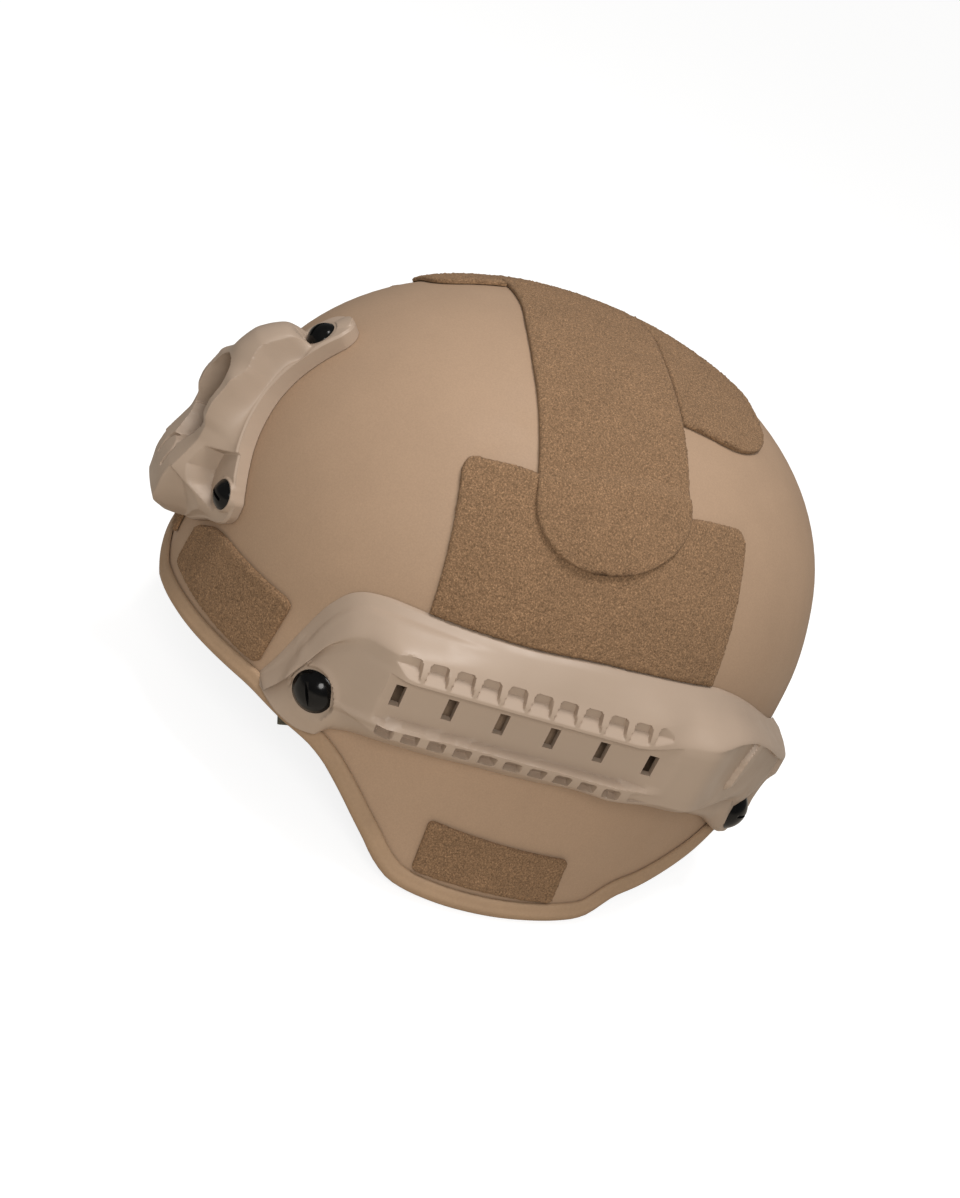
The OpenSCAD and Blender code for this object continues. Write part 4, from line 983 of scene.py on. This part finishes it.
def make_patches():
    def strip(u, v, o):
        t = u * 2 - 1
        x = np.sign(t) * STRIP_TIP * (1 - np.maximum(1 - np.abs(t), 0) ** 1.12)
        w = STRIP_HALF * np.maximum(0.02, arc_half(STRIP_TIP - np.abs(x), 18.0))
        return crown_skin(x, strip_mid(x) + (2 * v - 1) * w, o + strip_lap(x))
    patch("crown_strip", "crown_loop", np.linspace(0, 1, 301), np.linspace(0, 1, 81), strip, 11)

    def lobe(x0, x1, depth, r, side):
        def lay(u, v, o):
            x = x0 + (x1 - x0) * u
            near = strip_mid(x) + side * (STRIP_HALF + 0.6)
            deep = depth * (1 - r / depth * (1 - arc_half(np.minimum(x - x0, x1 - x) + 0.02, r)))
            return crown_skin(x, near + side * v * deep, o)
        return lay
    patch("rear_lobe", "crown_rear_loop", np.linspace(0, 1, 151), np.linspace(0, 1, 66),
          lobe(-54, 54, 49, 30, 1), 13)
    patch("far_crown_patch", "crown_right_loop", np.linspace(0, 1, 50), np.linspace(0, 1, 40),
          lobe(-71, -34, 29, 10, -1), 17)

    high = soft_line([[-67, 163.5], [-42, 167.5], [20, 168], [44, 166], [47.5, 165]])

    def side_lay(u, v, o):
        y = -67 + 114.5 * u
        up = high(y) - 5 * (1 - arc_half(np.minimum(y + 67.05, 47.55 - y), 5))
        low = rail_top(y) + 0.3
        return side_skin(y, low + (up - low) * v, o)

    def ear_lay(u, v, o):
        y = -40 + 60 * u
        turn = 2 * (1 - arc_half(np.minimum(y + 40.05, 20.05 - y), 2.5))
        low = COVER_Z + 8 - y * 0.05 + turn
        return side_skin(y, low + (32 - y * 0.09 - turn - low) * v, o)

    brow_top = soft_line([[9, 76], [15, 79.5], [24, 84.5], [33, 86.5], [50, 87.4], [74, 88]])

    def brow_lay(u, v, o):
        x = 10.5 + 62 * u
        turn = 3 * (1 - arc_half(np.minimum(x - 10.4, 72.6 - x), 4))
        low = 58 + turn
        return brow_skin(x, low + (brow_top(x) - turn - low) * v, o)

    for name, node, nu, nv, lay in (("side_patch", "side_loop", 164, 76, side_lay),
                                    ("ear_patch", "ear_loop", 88, 34, ear_lay),
                                    ("brow_patch", "brow_loop", 90, 42, brow_lay)):
        left = patch("left_" + name, "left_" + node, np.linspace(0, 1, nu), np.linspace(0, 1, nv), lay, nu)
        dress(mirrored(left, "right_" + name), "loop_fastener", "helmet", "right_" + node)


# liner
PAD_BACK = 9.4
WEB_BACK, WEB_T, WEB_W = 12.9, 1.6, 19.0


def puff(obj, most=2.0, hold=True):
    """Blows a closed cushion up as cloth, and keeps its back where it lies."""
    apply(obj, "REMESH", mode="VOXEL", voxel_size=4.5 * MM)
    start = points(obj)
    alone(obj)
    mod = obj.modifiers.new("filling", "CLOTH")
    how = mod.settings
    how.quality, how.mass, how.use_pressure, how.uniform_pressure_force = 5, 0.15, True, 4
    how.effector_weights.gravity = 0
    mod.point_cache.frame_start, mod.point_cache.frame_end = 1, 20
    scene = bpy.context.scene
    for f in range(1, 21):
        scene.frame_set(f)
    bpy.ops.object.modifier_apply(modifier=mod.name)
    scene.frame_set(1)
    move = points(obj) - start
    if hold:
        mm = start / MM
        n = out_dir(mm[:, 0], mm[:, 1] - MID_Y, mm[:, 2])
        out = np.maximum((move * n).sum(1), 0)
        move -= (0.9 * out)[:, None] * n
    far = np.linalg.norm(move, axis=1, keepdims=True)
    move *= np.minimum(1, most * MM / np.maximum(far, 1e-9))
    obj.data.vertices.foreach_set("co", (start + move).ravel())
    obj.data.update()
    return apply(obj, "SUBSURF", levels=1, render_levels=1)


def swell(u, v):
    return np.sqrt(np.maximum(0, 1 - np.abs(u) ** 2.6) * np.maximum(0, 1 - np.abs(v) ** 2.6))


def corner(v):
    return 1 - 0.16 * np.abs(v) ** 5


def cushion(name, node, at, back, thin, thick):
    """A pad against the wall: at(u, v, o) spreads it, back, thin and thick give its section."""
    even = np.linspace(-1, 1, 45)
    obj = plate(name, even, even,
                lambda u, v: at(u * 0.985, v * 0.985, -back - 0.3 - 0.9 * (1 - swell(u, v))),
                lambda u, v: at(u * 0.95, v * 0.95, -back - thin * 0.93 - (thick - thin) * swell(u, v)), 40)
    puff(obj)
    dress(smooth(obj, 75), "pad_cloth", "helmet", node)
    return obj


def make_liner():
    def wall(a0, a1, z0, z1, taper=0.0):
        am, zm, ha, hz = (a0 + a1) / 2, (z0 + z1) / 2, (a1 - a0) / 2, (z1 - z0) / 2
        return lambda u, v, o: skin(am + ha * u * corner(v) * (1 - taper * v), zm + hz * v * corner(u), o)

    def crown(u, v, o):
        return crown_skin(60 * u * np.sqrt(1 - v * v / 2), 60 * v * np.sqrt(1 - u * u / 2), o)

    cushion("brow_pad_cushion", "brow_pad", wall(-118, -62, 90, 134, 0.12), PAD_BACK, 11, 19)
    cushion("nape_pad_cushion", "nape_pad", wall(64, 116, 88, 134, 0.12), PAD_BACK, 11, 19)
    cushion("crown_pad_cushion", "crown_pad", crown, PAD_BACK, 11, 19)
    for end, span in (("front", (-46, -5)), ("rear", (5, 46))):
        left = cushion("left_%s_cushion" % end, "left_%s_pad" % end, wall(*span, 86, 128), PAD_BACK, 11, 19)
        right = mirrored(left, "right_%s_cushion" % end)
        dress(right, "pad_cloth", "helmet", "right_%s_pad" % end)
    cushion("neck_cushion_pad", "neck_cushion",
            lambda u, v, o: skin(90 + 27 * u * corner(v), 56.5 + 13 * v * corner(u), o),
            WEB_BACK + WEB_T + 0.3, 5, 9)


# webbing and chin gear
CHIN_Y, CHIN_TOP = -14.0, 63.2


def ribbon(name, path, wide, lay, pitch=1.6):
    """A flat strap, path long. lay(t, s, d) gives its points: t along, s from -1 to 1 across, d deep."""
    ts = np.linspace(0, 1, int(path / pitch) + 2)
    vs = np.array([-1, -0.96, -0.88, -0.6, -0.3, 0, 0.3, 0.6, 0.88, 0.96, 1.0])

    def face(u, v, d, way):
        s = v / (wide / 2)
        soft = way * 0.35 * (np.abs(s) > 0.97)
        return lay(u / path, s, d + soft)
    return plate(name, ts * path, vs * wide / 2,
                 lambda u, v: face(u, v, 0, 1), lambda u, v: face(u, v, WEB_T, -1))


def wall_ribbon(name, run, wide, back):
    run = np.array([r + [0] * (3 - len(r)) for r in run], float)
    k = np.arange(len(run))
    a_of, z_of, more = (soft_line(np.stack([k, run[:, c]], -1)) for c in range(3))
    length = float(np.hypot(np.diff(run[:, 0]) * 2.1, np.diff(run[:, 1])).sum())

    def lay(t, s, d):
        i = t * (len(run) - 1)
        da, dz = (a_of(i + 0.2) - a_of(i - 0.2)) * 2.1, z_of(i + 0.2) - z_of(i - 0.2)
        k = np.maximum(np.hypot(da, dz), 1e-6)
        return skin(a_of(i) - s * wide / 2 * dz / k / 2.1, z_of(i) + s * wide / 2 * da / k,
                    -back - more(i) - d)
    return ribbon(name, length, wide, lay)


def make_webbing():
    front = [[-53.5, 42.5, 1.6], [-50.5, 45.5, 1.6], [-46, 47, 1.2], [-41, 47, 0.6], [-34, 45.5], [-26, 42.5],
             [-20, 40], [-14, 37.5], [-9, 36]]
    rear = [[40, 37, 1.2], [35, 38.4, 0.8], [28, 39], [22, 38.3], [15, 37], [6.5, 36]]
    both = [[-10.5, 36], [-6, 36], [-2, 36], [2, 36], [6, 36]]
    left = join("left_side_webbing", [
        wall_ribbon("front", front, WEB_W, WEB_BACK), wall_ribbon("rear", rear, WEB_W, WEB_BACK),
        wall_ribbon("both", both, WEB_W + 4, WEB_BACK + WEB_T + 0.3)])
    smooth(left, 40)
    right = mirrored(left, "right_side_webbing")
    dress(left, "webbing", "helmet", "left_side_straps")
    dress(right, "webbing", "helmet", "right_side_straps")
    nape = wall_ribbon("nape_webbing", [[50.3 + 79.4 * i / 11, 56] for i in range(12)], WEB_W - 3, WEB_BACK)
    dress(smooth(nape, 40), "webbing", "helmet", "nape_strap")
    end = float(side_x(CHIN_Y, 38)) - WEB_BACK - 2 * WEB_T - 1.5
    drop = [[end, 30], [end - 1, 37], [end - 6, 45], [end - 13, 52], [end - 20, 58],
            [end - 26, CHIN_TOP - 0.6], [end - 32, CHIN_TOP]]
    for side, last, node in ((1, [47], "left_chin_strap"), (-1, [0, -21], "right_chin_strap")):
        run = np.array(drop + [[x, CHIN_TOP] for x in last])
        t_of = np.concatenate([[0], np.cumsum(np.hypot(*np.diff(run, axis=0).T))])
        x_of, z_of = (soft_line(np.stack([t_of, run[:, c]], -1)) for c in (0, 1))
        length = float(t_of[-1])

        def lay(t, s, d):
            i = t * length
            dx, dz = x_of(i + 0.5) - x_of(i - 0.5), z_of(i + 0.5) - z_of(i - 0.5)
            k = np.maximum(np.hypot(dx, dz), 1e-6)
            d = WEB_T / 2 - d
            return np.stack([side * (x_of(i) - dz / k * d), CHIN_Y + s * WEB_W / 2, z_of(i) + dx / k * d], -1)
        obj = outward(ribbon(node + "_webbing", length, WEB_W, lay))
        dress(smooth(obj, 40), "webbing", "helmet", node)


def make_chin_cup():
    even = np.linspace(-1, 1, 41)

    def face(u, v, z):
        return np.stack([-34 + 21.6 * u * (1 - 0.12 * v ** 4),
                         CHIN_Y + 19.6 * v * (1 - 0.12 * u ** 4), z], -1)
    cup = plate("chin_cup_pad", even, even, lambda u, v: face(u, v, CHIN_TOP + 1.0 + 2.0 * swell(u, v)),
                lambda u, v: face(u * 0.97, v * 0.97,
                                  CHIN_TOP - 2.0 - 2.6 * swell(u, v) + 1.4 * np.exp(-(u * 2.4) ** 2)), 20)
    puff(cup, 0.6, hold=False)
    slot = fresh("slot", bpy.ops.mesh.primitive_cube_add, size=1)
    slot.data.transform(Matrix.Translation((-34 * MM, (CHIN_Y + MID_Y) * MM, CHIN_TOP * MM))
                        @ Matrix.Diagonal((0.06, 0.0202, 0.0026, 1)))
    cut(cup, slot)
    dress(smooth(cup, 60), "pad_cloth", "chin_cup", "chin_cup")


KEPT = {
    "hook_squares": "hook_fastener",
    "front_left_tab": "buckle_plastic", "front_right_tab": "buckle_plastic",
    "rear_left_tab": "buckle_plastic", "rear_right_tab": "buckle_plastic",
    "buckle_socket": "buckle_plastic", "buckle_plug": "buckle_plastic",
    "left_slider": "buckle_plastic", "right_slider": "buckle_plastic"}


def finish_kept():
    """The rigid pieces whose form is right as it is get their finish and rounded edges."""
    for name, finish in KEPT.items():
        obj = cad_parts[name]
        obj.data.materials.clear()
        obj.data.materials.append(FINISH[finish])
        if name != "hook_squares":
            soft = obj.modifiers.new("soft_edges", "BEVEL")
            soft.width = SOFT_EDGE * MM
            soft.segments = 2
            soft.limit_method = "ANGLE"
            soft.angle_limit = math.radians(40)


# studio
def by_ray(tree, kinds):
    """A socket that is 1 for the named kinds of ray."""
    path = tree.nodes.new("ShaderNodeLightPath")
    last = path.outputs[kinds[0]]
    for kind in kinds[1:]:
        more = tree.nodes.new("ShaderNodeMath")
        more.operation = "MAXIMUM"
        tree.links.new(last, more.inputs[0])
        tree.links.new(path.outputs[kind], more.inputs[1])
        last = more.outputs[0]
    return last


def choose(tree, fac, a, b):
    pick = tree.nodes.new("ShaderNodeMixShader")
    for socket, value in zip(pick.inputs, (fac, a, b)):
        tree.links.new(value, socket)
    return pick.outputs[0]


def plain(tree, kind, colour, strength=None):
    node = tree.nodes.new(kind)
    node.inputs["Color"].default_value = (*colour, 1)
    if strength is not None:
        node.inputs["Strength"].default_value = strength
    return node.outputs[0]


def studio():
    scene = bpy.context.scene
    scene.view_settings.view_transform = "Standard"
    bpy.ops.object.select_all(action="DESELECT")
    bpy.ops.mesh.primitive_plane_add(size=60)
    ground = bpy.context.active_object
    ground.name = "studio_floor"
    mat = bpy.data.materials.new("studio_floor")
    mat.use_nodes = True
    tree = mat.node_tree
    tree.nodes.clear()
    matt = plain(tree, "ShaderNodeBsdfDiffuse", (0.6, 0.55, 0.48))
    both = tree.nodes.new("ShaderNodeAddShader")
    tree.links.new(plain(tree, "ShaderNodeBsdfDiffuse", (0.36, 0.36, 0.36)), both.inputs[0])
    tree.links.new(plain(tree, "ShaderNodeEmission", (1, 1, 1), 0.84), both.inputs[1])
    out = tree.nodes.new("ShaderNodeOutputMaterial")
    seen = by_ray(tree, ("Is Camera Ray", "Is Transmission Ray"))
    upper = choose(tree, seen, matt, both.outputs[0])
    # open to a view from below
    under = tree.nodes.new("ShaderNodeNewGeometry").outputs["Backfacing"]
    clear = plain(tree, "ShaderNodeBsdfTransparent", (1, 1, 1))
    tree.links.new(choose(tree, under, upper, clear), out.inputs[0])
    ground.data.materials.append(mat)

    world = bpy.data.worlds.new("studio")
    scene.world = world
    world.use_nodes = True
    tree = world.node_tree
    tree.nodes.clear()
    soft = plain(tree, "ShaderNodeBackground", (1.0, 0.985, 0.96), 0.36)
    dim = plain(tree, "ShaderNodeBackground", (1.0, 1.0, 1.0), 0.12)
    white = plain(tree, "ShaderNodeBackground", (1, 1, 1), 1.0)
    inner = choose(tree, by_ray(tree, ("Is Glossy Ray",)), soft, dim)
    out = tree.nodes.new("ShaderNodeOutputWorld")
    tree.links.new(choose(tree, by_ray(tree, ("Is Camera Ray",)), inner, white), out.inputs[0])

    def lamp(name, at, size, watts, colour=(1, 1, 1)):
        data = bpy.data.lights.new(name, "AREA")
        data.shape, data.size, data.energy, data.color = "DISK", size, watts, colour
        obj = bpy.data.objects.new(name, data)
        obj.location = at
        obj.rotation_mode = "QUATERNION"
        obj.rotation_quaternion = (Vector(at) - Vector((0, 0, 0.09))).to_track_quat("Z", "Y")
        scene.collection.objects.link(obj)
    lamp("overhead", (0.22, 0.05, 1.45), 0.5, 11.5, (1.0, 0.97, 0.95))
    lamp("beside_camera", (0.62, -0.24, 0.47), 0.25, 1.9, (1.0, 0.98, 0.95))

    data = bpy.data.cameras.new("photo_view")
    data.sensor_width, data.sensor_fit, data.lens = 36, "AUTO", 49.008
    cam = bpy.data.objects.new("photo_view", data)
    right = Vector((0.2255, 0.8993, 0.3747))
    up = Vector((-0.5574, -0.1963, 0.8067))
    back = Vector((0.799, -0.3907, 0.457))
    turn = Matrix((right, up, back)).transposed()
    cam.matrix_world = Matrix.Translation((0.57019, -0.27472, 0.3910)) @ turn.to_4x4()
    scene.collection.objects.link(cam)
    scene.camera = cam


make_shell()
make_trim()
make_rail()
make_shroud()
make_fixings()
make_patches()
make_liner()
make_webbing()
make_chin_cup()
finish_kept()
studio()
